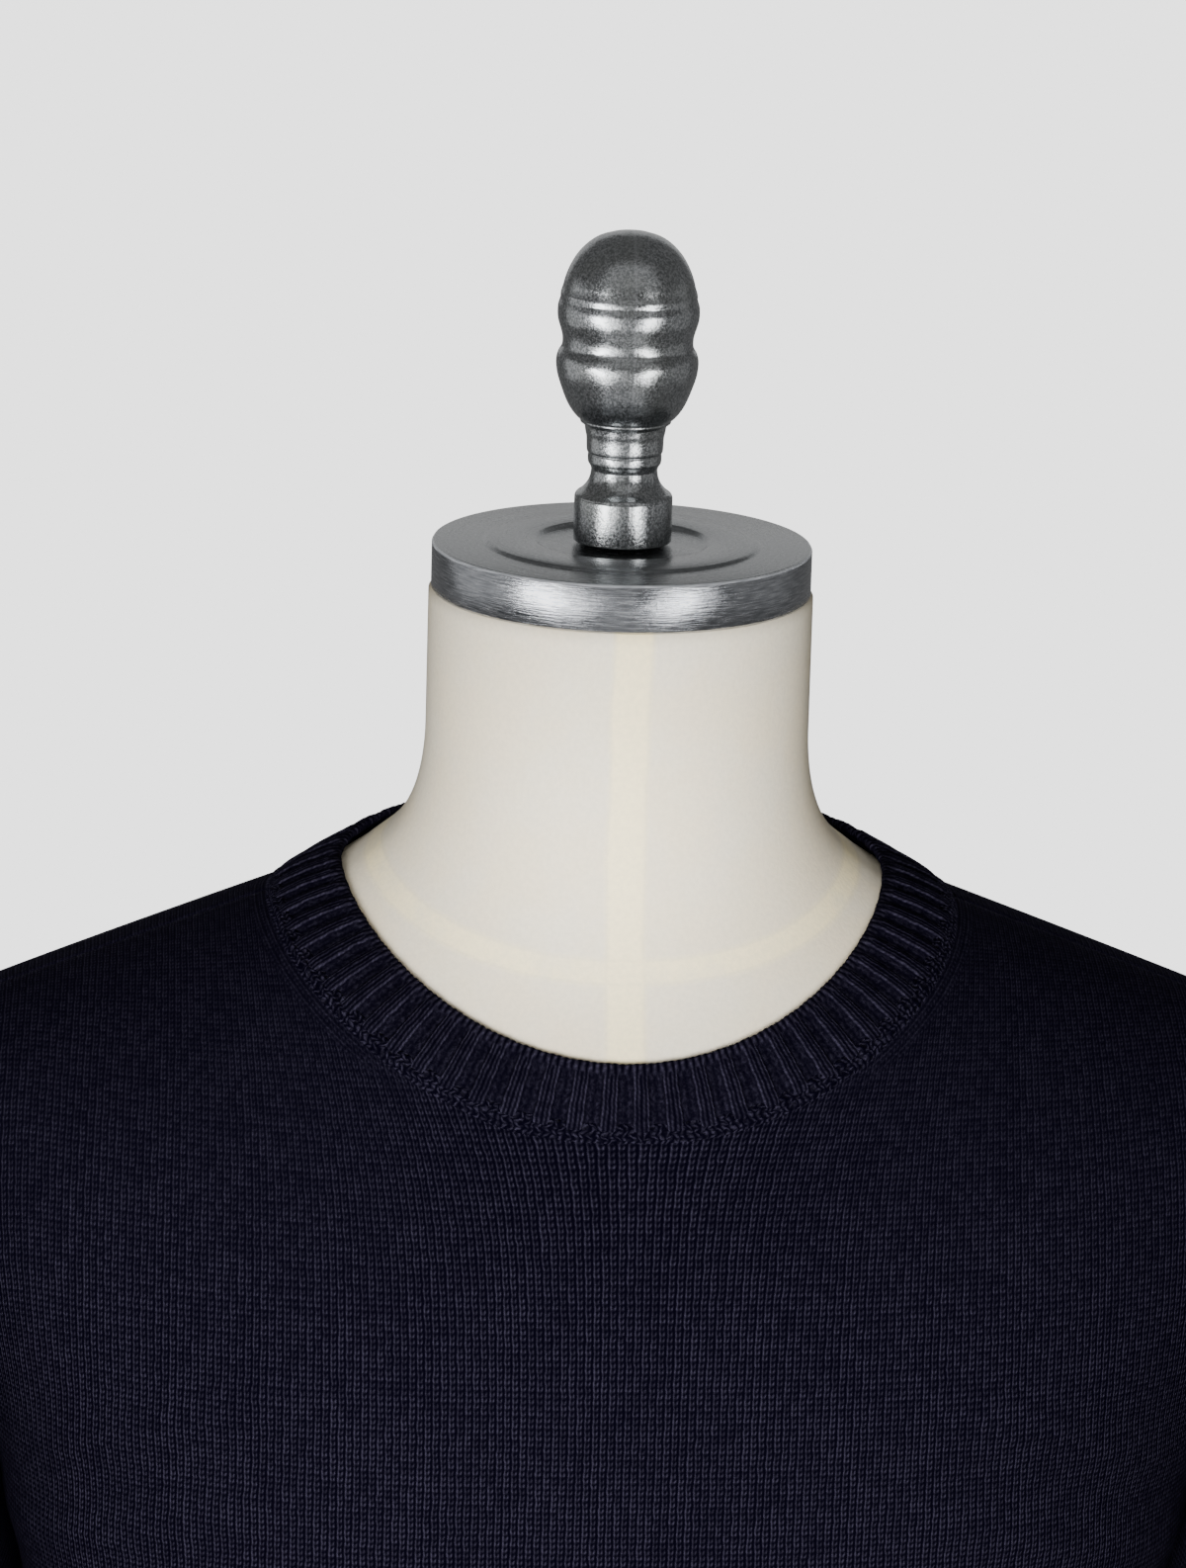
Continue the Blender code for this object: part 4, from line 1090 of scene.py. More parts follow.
def panel_shell(facing, name, sizes):
    """Front or back: the inner face, pushed out along its normals by the height of its folds. Its
    stitch map is the length across over the width of a wale, and the length up over the height of a
    row. A second map counts wales and rows from the neck's edge."""
    low = np.arange(HEM_TOP + SEAM, CHEST - PANEL_LOW_STEP / 2, PANEL_LOW_STEP)
    heights = np.append(low, CHEST)
    half, turn = panel_rows(
        SWEATER, facing, heights, PANEL_COLUMNS, PANEL_NECK_COLUMNS, PANEL_CLOSE_ROWS, PANEL_EDGE
    )
    x, turns, wide, long = stitch_tables(facing)
    level = np.swapaxes(lengths(np.swapaxes(half, 0, 1)), 0, 1)
    upper = turn > 0
    across = np.where(upper, read_grid(x, turns, wide, half[..., 0], turn), level)
    up = np.where(upper, read_grid(x, turns, long, half[..., 0], turn), half[..., 2] - CHEST)
    ring = np.linspace(0, 2 * np.pi, NECK_POINTS + 1)[:-1]
    opening = neck_line(SWEATER, ring, PANEL_EDGE)
    run = lengths(opening)
    flat = half.reshape(-1, 3)
    nearest = np.empty(len(flat), dtype=int)
    gap = np.empty(len(flat))
    for start in range(0, len(flat), AT_ONCE):
        here = slice(start, start + AT_ONCE)
        away = np.linalg.norm(flat[here, None] - opening[None], axis=2)
        nearest[here] = away.argmin(axis=1)
        gap[here] = away.min(axis=1)
    nearest, gap = nearest.reshape(turn.shape), gap.reshape(turn.shape)
    crowding = CROWDING[facing] * np.exp(-gap / CROWD_DOWN) * np.exp(-((half[..., 0] / CROWD_ACROSS) ** 2))
    across = across / (1 + crowding)
    uv = np.stack([across / sizes.wale, up / sizes.course], axis=-1)
    edge_uv = np.stack([gap / sizes.wale, run[nearest] / sizes.course], axis=-1)
    from_side = np.degrees(np.abs((ring[nearest] + np.pi / 2) % np.pi - np.pi / 2))
    zone = np.clip((EDGE_ZONE_END - from_side) / EDGE_ZONE_FADE, 0, 1)
    mirror = np.concatenate([half[:, :0:-1] * (-1, 1, 1), half], axis=1)
    uv = np.concatenate([uv[:, :0:-1] * (-1, 1), uv], axis=1)
    edge_uv = np.concatenate([edge_uv[:, :0:-1], edge_uv], axis=1)
    zone = np.concatenate([zone[:, :0:-1], zone], axis=1)
    normals = grid_normals(mirror) * (-facing)
    outwards = np.sign((normals * (mirror - BODY_MIDDLE)).sum(axis=-1, keepdims=True))
    mirror = mirror + normals * outwards * fold_height(facing, mirror)[..., None]
    made = make_mesh(name, [patch(mirror, uv, flip=facing > 0, edge_zone=zone)])
    second = made.data.uv_layers.new(name="edge")
    index = np.empty(len(made.data.loops), dtype=np.int32)
    made.data.loops.foreach_get("vertex_index", index)
    second.uv.foreach_set("vector", edge_uv.reshape(-1, 2)[index].astype(np.float32).ravel())
    thicken(made, KNIT)
    return made


ARMHOLE_HEIGHTS = 9  # level rows of the panels between the armpit and the chest
ARMHOLE_GRID = (24, 14, 20)  # columns, neck columns and closing rows of the panels at the armhole
SLEEVE_POINTS = 96  # round each ring
SLEEVE_STEPS = 8  # from each ring of the table to the next
EVEN_RING = 8  # the points are spread evenly by length on this ring of the table
TUBE_RING = 9  # the stitches are counted round this one
GIRTH_SHARE = 0.25  # how far the count of wales follows the girth of each ring


def sleeve_shells(sizes):
    """Both sleeves, empty and hanging. The first ring is the armhole's edge, the share of that edge in
    the next rings falls to nothing, and a cubic runs through all the rings down to a flattened tube."""
    heights = np.linspace(ARMPIT, CHEST, ARMHOLE_HEIGHTS)
    edge = armhole(ARM_SEAM, heights, *ARMHOLE_GRID)
    edge = evened(np.concatenate([edge, edge[:1]]), SLEEVE_POINTS + 1)[:-1]
    angles = ring_angles(len(edge))
    own = edge - sleeve_ring(SLEEVE_RINGS[0], angles)
    rings = np.stack([sleeve_ring(row, angles) + own * row["armhole"] for row in SLEEVE_RINGS])
    rings = smooth_rings(rings, SLEEVE_STEPS)
    down = lengths(rings).mean(axis=1)
    tube = rings[SLEEVE_STEPS * TUBE_RING]
    around = lengths(np.concatenate([tube, tube[:1]]))
    girth = lengths(np.swapaxes(np.concatenate([rings, rings[:, :1]], axis=1), 0, 1))[-1]
    share = (around / around[-1])[None]
    counted = girth[:, None] * GIRTH_SHARE + around[-1] * (1 - GIRTH_SHARE)
    u = (share - 0.5) * counted / sizes.wale
    uv = np.stack([u, np.broadcast_to(-down[:, None] / sizes.course, u.shape)], axis=-1)
    made = []
    for side, turn in (("left", 1), ("right", -1)):
        shell = make_mesh("sleeve_" + side + "_knit", [patch(rings * (turn, 1, 1), uv, True, turn < 0)])
        thicken(shell, KNIT, outwards=False)
        made.append(shell)
    return made


RIB_FLATNESS = 2.4  # how flat the tops of the ribs are
GROOVE = 0.16  # depth between two wales, as a share of the rib's height
GROOVE_POWER = 6  # how narrow it is


def rib_relief(wales):
    """Height of the rib from -1 in its sunk pair to 1 on its raised pair: the hyperbolic tangent of a
    sine, less a groove between wales that is a power of a cosine."""
    wave = np.sin(2 * np.pi * wales / RIB_PERIOD)
    groove = GROOVE * np.abs(np.cos(np.pi * wales)) ** GROOVE_POWER
    return np.tanh(RIB_FLATNESS * wave) / np.tanh(RIB_FLATNESS) - groove


JOIN_AT = 0.75  # the seam of the collar's stitch map is at its back, this share of its length round


def even_angles(line, angles, count):
    """Angles that spread points evenly by length along a closed line: equal shares of its length, read
    back as angles."""
    length = lengths(np.concatenate([line, line[:1]]))
    at = (np.arange(count) / count + JOIN_AT) % 1 * length[-1]
    return np.interp(at, length, np.append(angles, 2 * np.pi))


DENSE = 4000  # points of a neck line before they are spread evenly
COLLAR_COLUMNS = 4  # in one wale
COLLAR_ROWS = (17, 9, 11)  # up its outer face, round its fold and down inside
SIDE_RIBS = 0.35  # how much deeper the ribs stand at the sides
RIB_LEFT = 0.10  # share of the rib's depth that is left on the fold
RIB_INSIDE = 0.40  # and most of it inside
FADE_OUTSIDE, FADE_INSIDE = 0.0042, 0.0060  # lengths over which it fades towards the fold
FADE_POWER = 0.8
LINKED_EDGE = 0.15  # share of the band's height where the ribs fade towards the linked edge
LINKED_LEFT = 0.25  # share of their depth that is left there
INSIDE_LIFT = 0.0001  # how far the inner face stands into the band
SCALLOP, SCALLOP_FADE = 0.00045, 0.0028  # loops that stand up on the fold, and how far they reach
FOLD_ROW = 0.0003  # height of the raised row of loops below the fold
FOLD_ROW_AT, FOLD_ROW_WIDE = 0.0022, 0.0014
COLLAR_SUNK = 0.0004  # how far the face lies in, so that its ribs end up at the collar's surface
# The bound loops on the fold replace the rib's within 0.6 of this length from the fold, and have faded
# out at 1.6 of it
BORDER_FADE = 0.0022
BORDER = 1.6


def collar_shell(sizes):
    """The folded rib collar: up its outer face, round a half circle at the fold and down inside, pushed
    out by real ribs. Each rib joins points at the same share of the length round its linked edge and
    round its fold. The outer face bulges as a parabola, and the ribs stand deeper at the sides by the
    square of a cosine, because the band is less stretched there."""
    columns = COLLAR_RIBS * RIB_PERIOD * COLLAR_COLUMNS
    dense = np.linspace(0, 2 * np.pi, DENSE, endpoint=False)
    low, fold, _ = collar_band(dense)
    low_angles = even_angles(low, dense, columns)
    low, _, out = collar_band(low_angles)
    _, fold, fold_out = collar_band(even_angles(fold, dense, columns))
    band = fold - low
    tall = np.linalg.norm(band, axis=1, keepdims=True)
    band /= tall
    half = RIB / 2
    last = tall - half
    deep = 1.0 + SIDE_RIBS * np.cos(low_angles) ** 2
    rows, faces, run, strength = [], [], [], []
    outside, fold_rows, inside = COLLAR_ROWS
    for share in np.linspace(0, 1, outside):
        face = unit(out + (fold_out - out) * share)
        bulge = COLLAR_BULGE * 4 * share * (1 - share)
        rows.append(low + band * last * share + face * (RIB + bulge))
        faces.append(face)
        run.append(tall.mean() * share)
        below_fold = np.clip((1 - share) * tall.mean() / FADE_OUTSIDE, RIB_LEFT, 1) ** FADE_POWER
        strength.append(below_fold * np.clip(share / LINKED_EDGE, LINKED_LEFT, 1))
    for turn in np.linspace(np.pi / 2, -np.pi / 2, fold_rows)[1:-1]:
        face = fold_out * np.sin(turn) + band * np.cos(turn)
        rows.append(low + band * last + fold_out * half + face * half)
        faces.append(face)
        run.append(tall.mean() + half * (np.pi / 2 - turn))
        strength.append(RIB_LEFT)
    for share in np.linspace(1, 0, inside):
        face = unit(out + (fold_out - out) * share)
        rows.append(low + band * last * share + face * INSIDE_LIFT)
        faces.append(-face)
        run.append(tall.mean() * (2 - share) + half * np.pi)
        strength.append(np.clip((1 - share) * tall.mean() / FADE_INSIDE, RIB_LEFT, RIB_INSIDE))
    wales = np.arange(columns) / columns * COLLAR_RIBS * RIB_PERIOD
    run = np.array(run)[:, None]
    past = run - tall.mean()
    relief = rib_relief(wales)[None] * np.array(strength)[:, None] * deep
    scallop = np.abs(np.sin(np.pi * wales))[None] * np.exp(-((past / SCALLOP_FADE) ** 2))
    row_lift = np.exp(-(((past + FOLD_ROW_AT) / FOLD_ROW_WIDE) ** 2)) * FOLD_ROW
    lift = relief * sizes.rib_height + scallop * SCALLOP + row_lift - COLLAR_SUNK
    grid = np.array(rows) + np.array(faces) * lift[..., None]
    u = np.broadcast_to(np.append(wales, COLLAR_RIBS * RIB_PERIOD), (len(rows), columns + 1))
    v = np.broadcast_to(run / sizes.course, u.shape)
    border = np.broadcast_to(np.clip(BORDER - np.abs(past) / BORDER_FADE, 0, 1), grid.shape[:2])
    return make_mesh(
        "collar_rib", [patch(grid, np.stack([u, v], axis=-1), around=True, flip=True, border=border)]
    )


# The linking seam across: on the collar (1) or the panels (-1), how far from the join, how far raised
LINK_SECTION = np.array(
    [
        (1, 0.0048, -0.0004),
        (1, 0.0042, 0.0001),
        (1, 0.0034, 0.0003),
        (1, 0.0024, 0.0002),
        (1, 0.0012, 0.0003),
        (1, 0.0000, 0.0002),
        (-1, 0.0008, 0.0003),
        (-1, 0.0018, 0.0002),
        (-1, 0.0025, -0.0004),
    ],
    dtype=[("side", int), ("along", float), ("lift", float)],
)


LINK_COLUMNS = 720
LINK_DOWN = 0.004  # distance of the panel's line that the seam's lower half heads for
LINK_SUNK = 0.0002  # into the collar's face
LINK_STITCH = 0.0023  # length of one loop of the seam
LINK_LOOPS = 2  # across it


def link_shell():
    """The linking seam: a low bead of loops that closes the collar's join with the panels. It is the
    profile LINK_SECTION, carried along the collar's edge."""
    columns = LINK_COLUMNS
    dense = np.linspace(0, 2 * np.pi, DENSE, endpoint=False)
    angles = even_angles(neck_line(SWEATER, dense), dense, columns)
    low, fold, out = collar_band(angles)
    band = unit(fold - low)
    below = neck_line(SWEATER, angles, LINK_DOWN)
    down = unit(below - low)
    around = np.roll(low, -1, axis=0) - np.roll(low, 1, axis=0)
    face = unit(np.cross(around, down))
    face *= np.sign((face * out).sum(axis=1, keepdims=True))
    rows = []
    for side, along, lift in LINK_SECTION:
        if side > 0:
            rows.append(low + band * along + out * (RIB - LINK_SUNK + lift))
        else:
            rows.append(low + down * along + face * (KNIT + lift))
    grid = np.array(rows)
    run = lengths(np.concatenate([low, low[:1]]))
    v = np.broadcast_to(run[None] / LINK_STITCH, (len(rows), columns + 1))
    across = lengths(grid).mean(axis=1)
    u = np.broadcast_to(across[:, None] / across[-1] * LINK_LOOPS, v.shape)
    return make_mesh("linking_seam", [patch(grid, np.stack([u, v], axis=-1), around=True, flip=True)])


FLAT_RIBS = 0.7  # height of the ribs of hem and cuffs, as a share of the collar's


def rib_tube(rings, ribs, sizes):
    """A rib band round the body or a wrist: closed rings, pushed out along their normals by the rib's
    relief, and their stitch map."""
    columns = rings.shape[1]
    wales = np.arange(columns) / columns * ribs * RIB_PERIOD
    normals = grid_normals(rings, around=True)
    middle = rings.mean(axis=(0, 1))
    if (normals * (rings - middle)).sum() < 0:
        normals = -normals
    grid = rings + normals * (rib_relief(wales) * sizes.rib_height * FLAT_RIBS)[None, :, None]
    u = np.broadcast_to(np.append(wales, ribs * RIB_PERIOD), (len(rings), columns + 1))
    down = lengths(rings).mean(axis=1)
    v = np.broadcast_to(down[:, None] / sizes.course, u.shape)
    return grid, np.stack([u, v], axis=-1)


HEM_RIBS, HEM_COLUMNS, HEM_ROWS = 88, 3, 15  # ribs round the body, columns in a wale, rows up the band
HEM_DENSE = 200  # points of a quarter section before they are spread evenly
CUFF_RIBS, CUFF_COLUMNS, CUFF_ROWS = 20, 4, 13


def hem_shell(sizes):
    """The rib at the bottom of the body: one band round the level sections, which are superellipses."""
    count = HEM_RIBS * RIB_PERIOD * HEM_COLUMNS
    rows = []
    for height in np.linspace(HEM_LOW, HEM_TOP, HEM_ROWS):
        front = level_row(SWEATER, -1, height, HEM_DENSE)
        back = level_row(SWEATER, 1, height, HEM_DENSE)
        front[:, 1] += SEAM / 2
        back[:, 1] -= SEAM / 2
        half = np.concatenate([front, back[-2::-1]])
        whole = np.concatenate([half, half[-2::-1] * (-1, 1, 1)])
        rows.append(evened(whole, count + 1)[:-1])
    grid, uv = rib_tube(np.array(rows), HEM_RIBS, sizes)
    made = make_mesh("hem_rib_knit", [patch(grid, uv, around=True)])
    thicken(made, KNIT)
    return made


def cuff_shells(sizes):
    """The ribs at the wrists, each one band that runs straight from its upper ring to its lower one."""
    angles = ring_angles(CUFF_RIBS * RIB_PERIOD * CUFF_COLUMNS)
    ends = np.stack([sleeve_ring(row, angles) for row in CUFF_RINGS])
    share = np.linspace(0, 1, CUFF_ROWS)[:, None, None]
    grid, uv = rib_tube(ends[0] + (ends[1] - ends[0]) * share, CUFF_RIBS, sizes)
    made = []
    for side, turn in (("left", 1), ("right", -1)):
        shell = make_mesh("cuff_" + side + "_knit", [patch(grid * (turn, 1, 1), uv, True, turn < 0)])
        thicken(shell, KNIT, outwards=False)
        made.append(shell)
    return made


FORM_HEIGHTS = 40  # level rows of the form
FORM_GRID = (40, 24, 30)  # its columns, neck columns and closing rows
PLATE_SHARES = (1.0, 0.75, 0.5, 0.25, 0.0)  # rings of the plates in the arm ends
PLATE_BULGE = 0.002
FORM_ANGLES = 180  # round the neck
UNDER_ROWS, FLARE_ROWS, COLUMN_ROWS = 8, 60, 12  # of the neck: under the collar, flared, straight
NO_SEAM = 1.0  # a distance far from any seam


def form_shell():
    """The limbless form: its body, which follows the same formulas as the panels, the plates in its arm
    ends, which bulge as a parabola, its underside, and its neck. The neck is a Bezier curve from the
    collar's fold to a straight column, and its value seam_distance is the length along it from the seam
    round its foot."""
    patches = []
    heights = np.linspace(FORM_LOW, CHEST, FORM_HEIGHTS)
    edges = {}
    for facing in (-1, 1):
        half, _ = panel_rows(FORM, facing, heights, *FORM_GRID, NECK_SEAM)
        half[..., 1] -= facing * SEAM / 2
        grid = np.concatenate([half[:, :0:-1] * (-1, 1, 1), half], axis=1)
        far = np.full(grid.shape[:2], NO_SEAM)
        patches.append(patch(grid, flip=facing > 0, seam_distance=far))
        edges[facing] = half[heights.searchsorted(ARMPIT) :, -1]
        edges[facing, "floor"] = half[0]
    rim = np.concatenate([edges[-1], edges[1][::-1]])
    middle = rim.mean(axis=0)
    shares = np.array(PLATE_SHARES)[:, None, None]
    plate = middle + (rim - middle) * shares
    plate[..., 0] += PLATE_BULGE * (1 - shares[..., 0] ** 2)
    for side in (1, -1):
        far = np.full(plate.shape[:2], NO_SEAM)
        patches.append(patch(plate * (side, 1, 1), flip=side < 0, around=True, seam_distance=far))
    half = np.concatenate([edges[-1, "floor"], edges[1, "floor"][-2::-1]])
    rim = np.concatenate([half, half[-2:0:-1] * (-1, 1, 1)])
    floor = np.stack([rim * (share, share, 1) for share in (1.0, 0.5, 0.0)])
    far = np.full(floor.shape[:2], NO_SEAM)
    patches.append(patch(floor, flip=True, around=True, seam_distance=far))
    angles = np.linspace(0, 2 * np.pi, FORM_ANGLES, endpoint=False)
    _, fold, out = collar_band(angles)
    start = fold - out * UNDER_COLLAR
    column = blend_round(NECK_COLUMN, angles)
    inwards = -unit(start[:, :2])
    slope = np.radians(blend_round(FLARE_SLOPE, angles))[:, None]
    handle = blend_round(FLARE_OUT, angles)[:, None]
    first = start + handle * np.concatenate([inwards * np.cos(slope), np.sin(slope)], axis=1)
    top = np.stack([np.cos(angles) * column, -np.sin(angles) * column, CAP_TOP - angles * 0], axis=1)
    top[:, 2] -= blend_round(STRAIGHT_BELOW, angles)
    second = top.copy()
    second[:, 2] = CAP_TOP - blend_round(FLARE_LOW, angles)
    t = np.linspace(0, 1, FLARE_ROWS)[:, None, None]
    u = 1 - t
    flare = u**3 * start + 3 * t * u**2 * first + 3 * t**2 * u * second + t**3 * top
    rim = top.copy()
    rim[:, 2] = NECK_TOP
    column = top + (rim - top) * np.linspace(0, 1, COLUMN_ROWS)[1:, None, None]
    share = np.linspace(0, 1, UNDER_ROWS)[:-1, None, None]
    under = neck_line(FORM, angles, NECK_SEAM) * (1 - share) + start * share
    neck = np.concatenate([under, flare, column, rim[None] * (0, 0, 1)])
    run = lengths(neck)
    seam_t = blend_round(NECK_SEAM_AT, angles)
    flare_run = run[len(under) : len(under) + FLARE_ROWS]
    seam_run = [np.interp(seam_t[i], t[:, 0, 0], flare_run[:, i]) for i in range(len(angles))]
    patches.append(patch(neck, around=True, flip=True, seam_distance=run - seam_run))
    return make_mesh("dress_form_cover", patches)


# ---------------------------------------------------------------- add-on


class SweaterSettings(bpy.types.PropertyGroup):
    """Sizes of the stitches, and colours of the sweater, the form and its metal."""

    wale: FloatProperty(
        name="Wale", description="Width of a column of stitches", unit="LENGTH", default=WALE
    )
    course: FloatProperty(
        name="Row", description="Height of a row of stitches", unit="LENGTH", default=COURSE
    )
    rib_height: FloatProperty(
        name="Rib", description="Height of the collar's ribs", unit="LENGTH", default=RIB_HEIGHT
    )
    yarn: FloatVectorProperty(
        name="Yarn",
        description="Legs of yarn that take the light",
        subtype="COLOR",
        size=4,
        default=linear("33303f"),
    )
    # Gap is painted shade: the colour of the knit's low places, between its legs of yarn
    gap: FloatVectorProperty(
        name="Gap",
        description="Gaps between the legs of yarn",
        subtype="COLOR",
        size=4,
        default=linear("03020b"),
    )
    cotton: FloatVectorProperty(
        name="Cotton",
        description="Cover of the form",
        subtype="COLOR",
        size=4,
        default=linear("e8dfca"),
    )
    cotton_warm: FloatVectorProperty(
        name="Warm cotton",
        description="Warmer areas of the cotton",
        subtype="COLOR",
        size=4,
        default=linear("eaddc2"),
    )
    seam_tape: FloatVectorProperty(
        name="Seam tape",
        description="Tape and seam on the form's neck",
        subtype="COLOR",
        size=4,
        default=linear("fff0c4"),
    )
    metal: FloatVectorProperty(
        name="Metal",
        description="Bright grain of the brushed metal",
        subtype="COLOR",
        size=4,
        default=linear("c4c6cb"),
    )
    metal_dark: FloatVectorProperty(
        name="Dark metal",
        description="Dark grain of the brushed metal",
        subtype="COLOR",
        size=4,
        default=linear("888b90"),
    )
    metal_top: FloatVectorProperty(
        name="Dull metal",
        description="Dull areas of both metals",
        subtype="COLOR",
        size=4,
        default=linear("a3a6a2"),
    )
    metal_pit: FloatVectorProperty(
        name="Pits",
        description="Specks and pits of both metals",
        subtype="COLOR",
        size=4,
        default=linear("868a8c"),
    )
    # Bright metal also paints the highlight along the finial's parting line
    metal_bright: FloatVectorProperty(
        name="Bright metal",
        description="Skin of the casting between its pits",
        subtype="COLOR",
        size=4,
        default=linear("cacccf"),
    )


class StageSettings(bpy.types.PropertyGroup):
    """The studio: camera and light."""

    lens: FloatProperty(name="Lens", description="Focal length in mm", default=158.98)
    place: FloatVectorProperty(
        name="Camera",
        description="Where the camera stands",
        subtype="TRANSLATION",
        default=(-0.15346, -2.19464, 1.528),
    )
    pan: FloatProperty(
        name="Pan", description="Heading from +Y to +X", subtype="ANGLE", default=math.radians(3.81)
    )
    tilt: FloatProperty(
        name="Tilt", description="Below the horizon", subtype="ANGLE", default=math.radians(14.76)
    )
    roll: FloatProperty(
        name="Roll", description="Turn of the camera", subtype="ANGLE", default=math.radians(1.6)
    )
    surround: FloatProperty(name="Surround", description="Radiance of the surround", default=0.15)
    floor_tone: FloatProperty(name="Floor", description="Radiance of the floor", default=2.52)
    spot: FloatProperty(name="Neck spot", description="Power of the neck's spot", unit="POWER", default=190)


class SWEATER_OT_body(bpy.types.Operator):
    """Front and back panels of plain knit"""

    bl_idname = "sweater.body"
    bl_label = "Body panels"

    def execute(self, context):
        settings = context.scene.sweater
        knit = knit_material("navy merino plain knit", settings, "panel")
        front = dress(panel_shell(-1, "front_knit", settings), knit, "front", slot="plain_knit")
        back = dress(panel_shell(1, "back_knit", settings), knit, "back", slot="plain_knit")
        return {"FINISHED"}


class SWEATER_OT_sleeves(bpy.types.Operator):
    """Both sleeves of plain knit"""

    bl_idname = "sweater.sleeves"
    bl_label = "Sleeves"

    def execute(self, context):
        settings = context.scene.sweater
        knit = knit_material("navy merino sleeve knit", settings, "plain")
        for made, node in zip(sleeve_shells(settings), ("sleeve_left", "sleeve_right")):
            dress(made, knit, node, slot="plain_knit")
        return {"FINISHED"}


class SWEATER_OT_ribs(bpy.types.Operator):
    """Collar, hem and cuffs of rib, and the collar's linking seam"""

    bl_idname = "sweater.ribs"
    bl_label = "Ribs"

    def execute(self, context):
        settings = context.scene.sweater
        rib = knit_material("navy merino two by two rib", settings, "rib")
        seam = knit_material("navy linking seam", settings, "link")
        link = dress(link_shell(), seam, slot="rib_knit")
        collar = dress(collar_shell(settings), rib, "neck_rib", slot="rib_knit")
        hem = dress(hem_shell(settings), rib, "hem_rib", slot="rib_knit")
        for made, node in zip(cuff_shells(settings), ("cuff_left", "cuff_right")):
            dress(made, rib, node, slot="rib_knit")
        return {"FINISHED"}


class SWEATER_OT_form(bpy.types.Operator):
    """The cotton-covered form, its cap and finial, and the stand's metal"""

    bl_idname = "sweater.form"
    bl_label = "Form and stand"

    def execute(self, context):
        settings = context.scene.sweater
        dress(form_shell(), cotton_material(settings), "dress_form", slot="form_cover")
        brushed = brushed_material(settings)
        cast = cast_material(settings)
        cap = turned_mesh("cap_brushed", CAP_PROFILE, CAP_TOP, CAP_STEPS, 0)
        dress(cap, brushed, "neck_cap", slot="brushed_metal")
        finial = turned_mesh("finial_cast", FINIAL_PROFILE, CAP_TOP, FINIAL_STEPS, FINIAL_FINE)
        dress(finial, cast, "finial", slot="cast_metal")
        for name in ("pole", "pole_flange", "base"):
            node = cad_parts[name]
            node.data.materials.clear()
            node.data.materials.append(brushed)
        return {"FINISHED"}


class SWEATER_OT_stage(bpy.types.Operator):
    """Pale floor, soft light and the camera"""

    bl_idname = "sweater.stage"
    bl_label = "Stage"

    def execute(self, context):
        build_stage(context.scene.sweater_stage)
        return {"FINISHED"}


# Studio lights around the neck: azimuth from the front towards +X, height of the middle above the
# floor, distance from the axis, width, height, radiance, whether metal mirrors it (mirrored), whether
# it lights cloth (lit), and whether it reaches the form's cover too (cover)
LIGHTS = np.array(
    [
        ("left softbox", -43.0, 0.78, 1.60, 1.08, 1.24, 3.4, 1, 0, 1),
        ("right softbox", 31.0, 0.78, 1.60, 0.80, 1.24, 2.9, 1, 0, 1),
        ("left core", -51.0, 0.90, 1.50, 0.28, 0.70, 13.0, 1, 0, 1),
        ("right core", 31.0, 0.90, 1.50, 0.24, 0.70, 9.0, 1, 0, 1),
        ("left card", -95.0, 0.90, 1.60, 1.10, 1.60, 0.45, 1, 0, 1),
        ("right card", 88.0, 0.90, 1.60, 1.10, 1.60, 0.12, 1, 0, 1),
        ("front fill", -9.0, 1.05, 2.40, 1.00, 0.90, 43.0, 0, 1, 1),
        ("back fill", 180.0, 0.80, 2.60, 1.60, 1.20, 8.0, 0, 1, 1),
        ("back fill left", -122.0, 0.80, 2.60, 1.60, 1.20, 14.0, 0, 1, 0),
        ("back fill right", 122.0, 0.80, 2.60, 1.60, 1.20, 14.0, 0, 1, 0),
        ("middle card", -9.0, 0.70, 1.70, 0.80, 1.60, 0.42, 1, 0, 1),
        ("low card", -9.0, -0.60, 1.20, 2.20, 1.10, 0.42, 1, 0, 1),
        ("overhead card", -4.0, 2.80, 1.40, 4.00, 2.20, 0.24, 1, 0, 1),
        ("backdrop", 180.0, 1.75, 2.80, 3.20, 1.60, 0.38, 1, 0, 1),
    ],
    dtype=[
        ("name", "U16"),
        ("azimuth", float),
        ("height", float),
        ("distance", float),
        ("width", float),
        ("tall", float),
        ("radiance", float),
        ("mirrored", int),
        ("lit", int),
        ("cover", int),
    ],
)

# The spot that brightens the middle of the form's neck
SPOT_FROM = (-0.25, -2.20, 1.05)
SPOT_AT = (-0.002, 0.0, 0.938)
SPOT_RADIUS = 0.088  # of the pool of light at the neck
SPOT_SIZE = 0.05  # of the lamp, which softens its edge
SPOT_FADE = 1.0  # the whole pool fades out from its middle

FLOOR_HALF = 60.0  # half width of the floor
FLOOR_SHARE = 0.80  # of the light that the floor sends back
FLOOR_LIGHT_SPREAD = math.radians(60)  # so that the floor shows hardly a shadow
SENSOR_WIDTH = 36.0  # mm
CLIP_END = 200.0


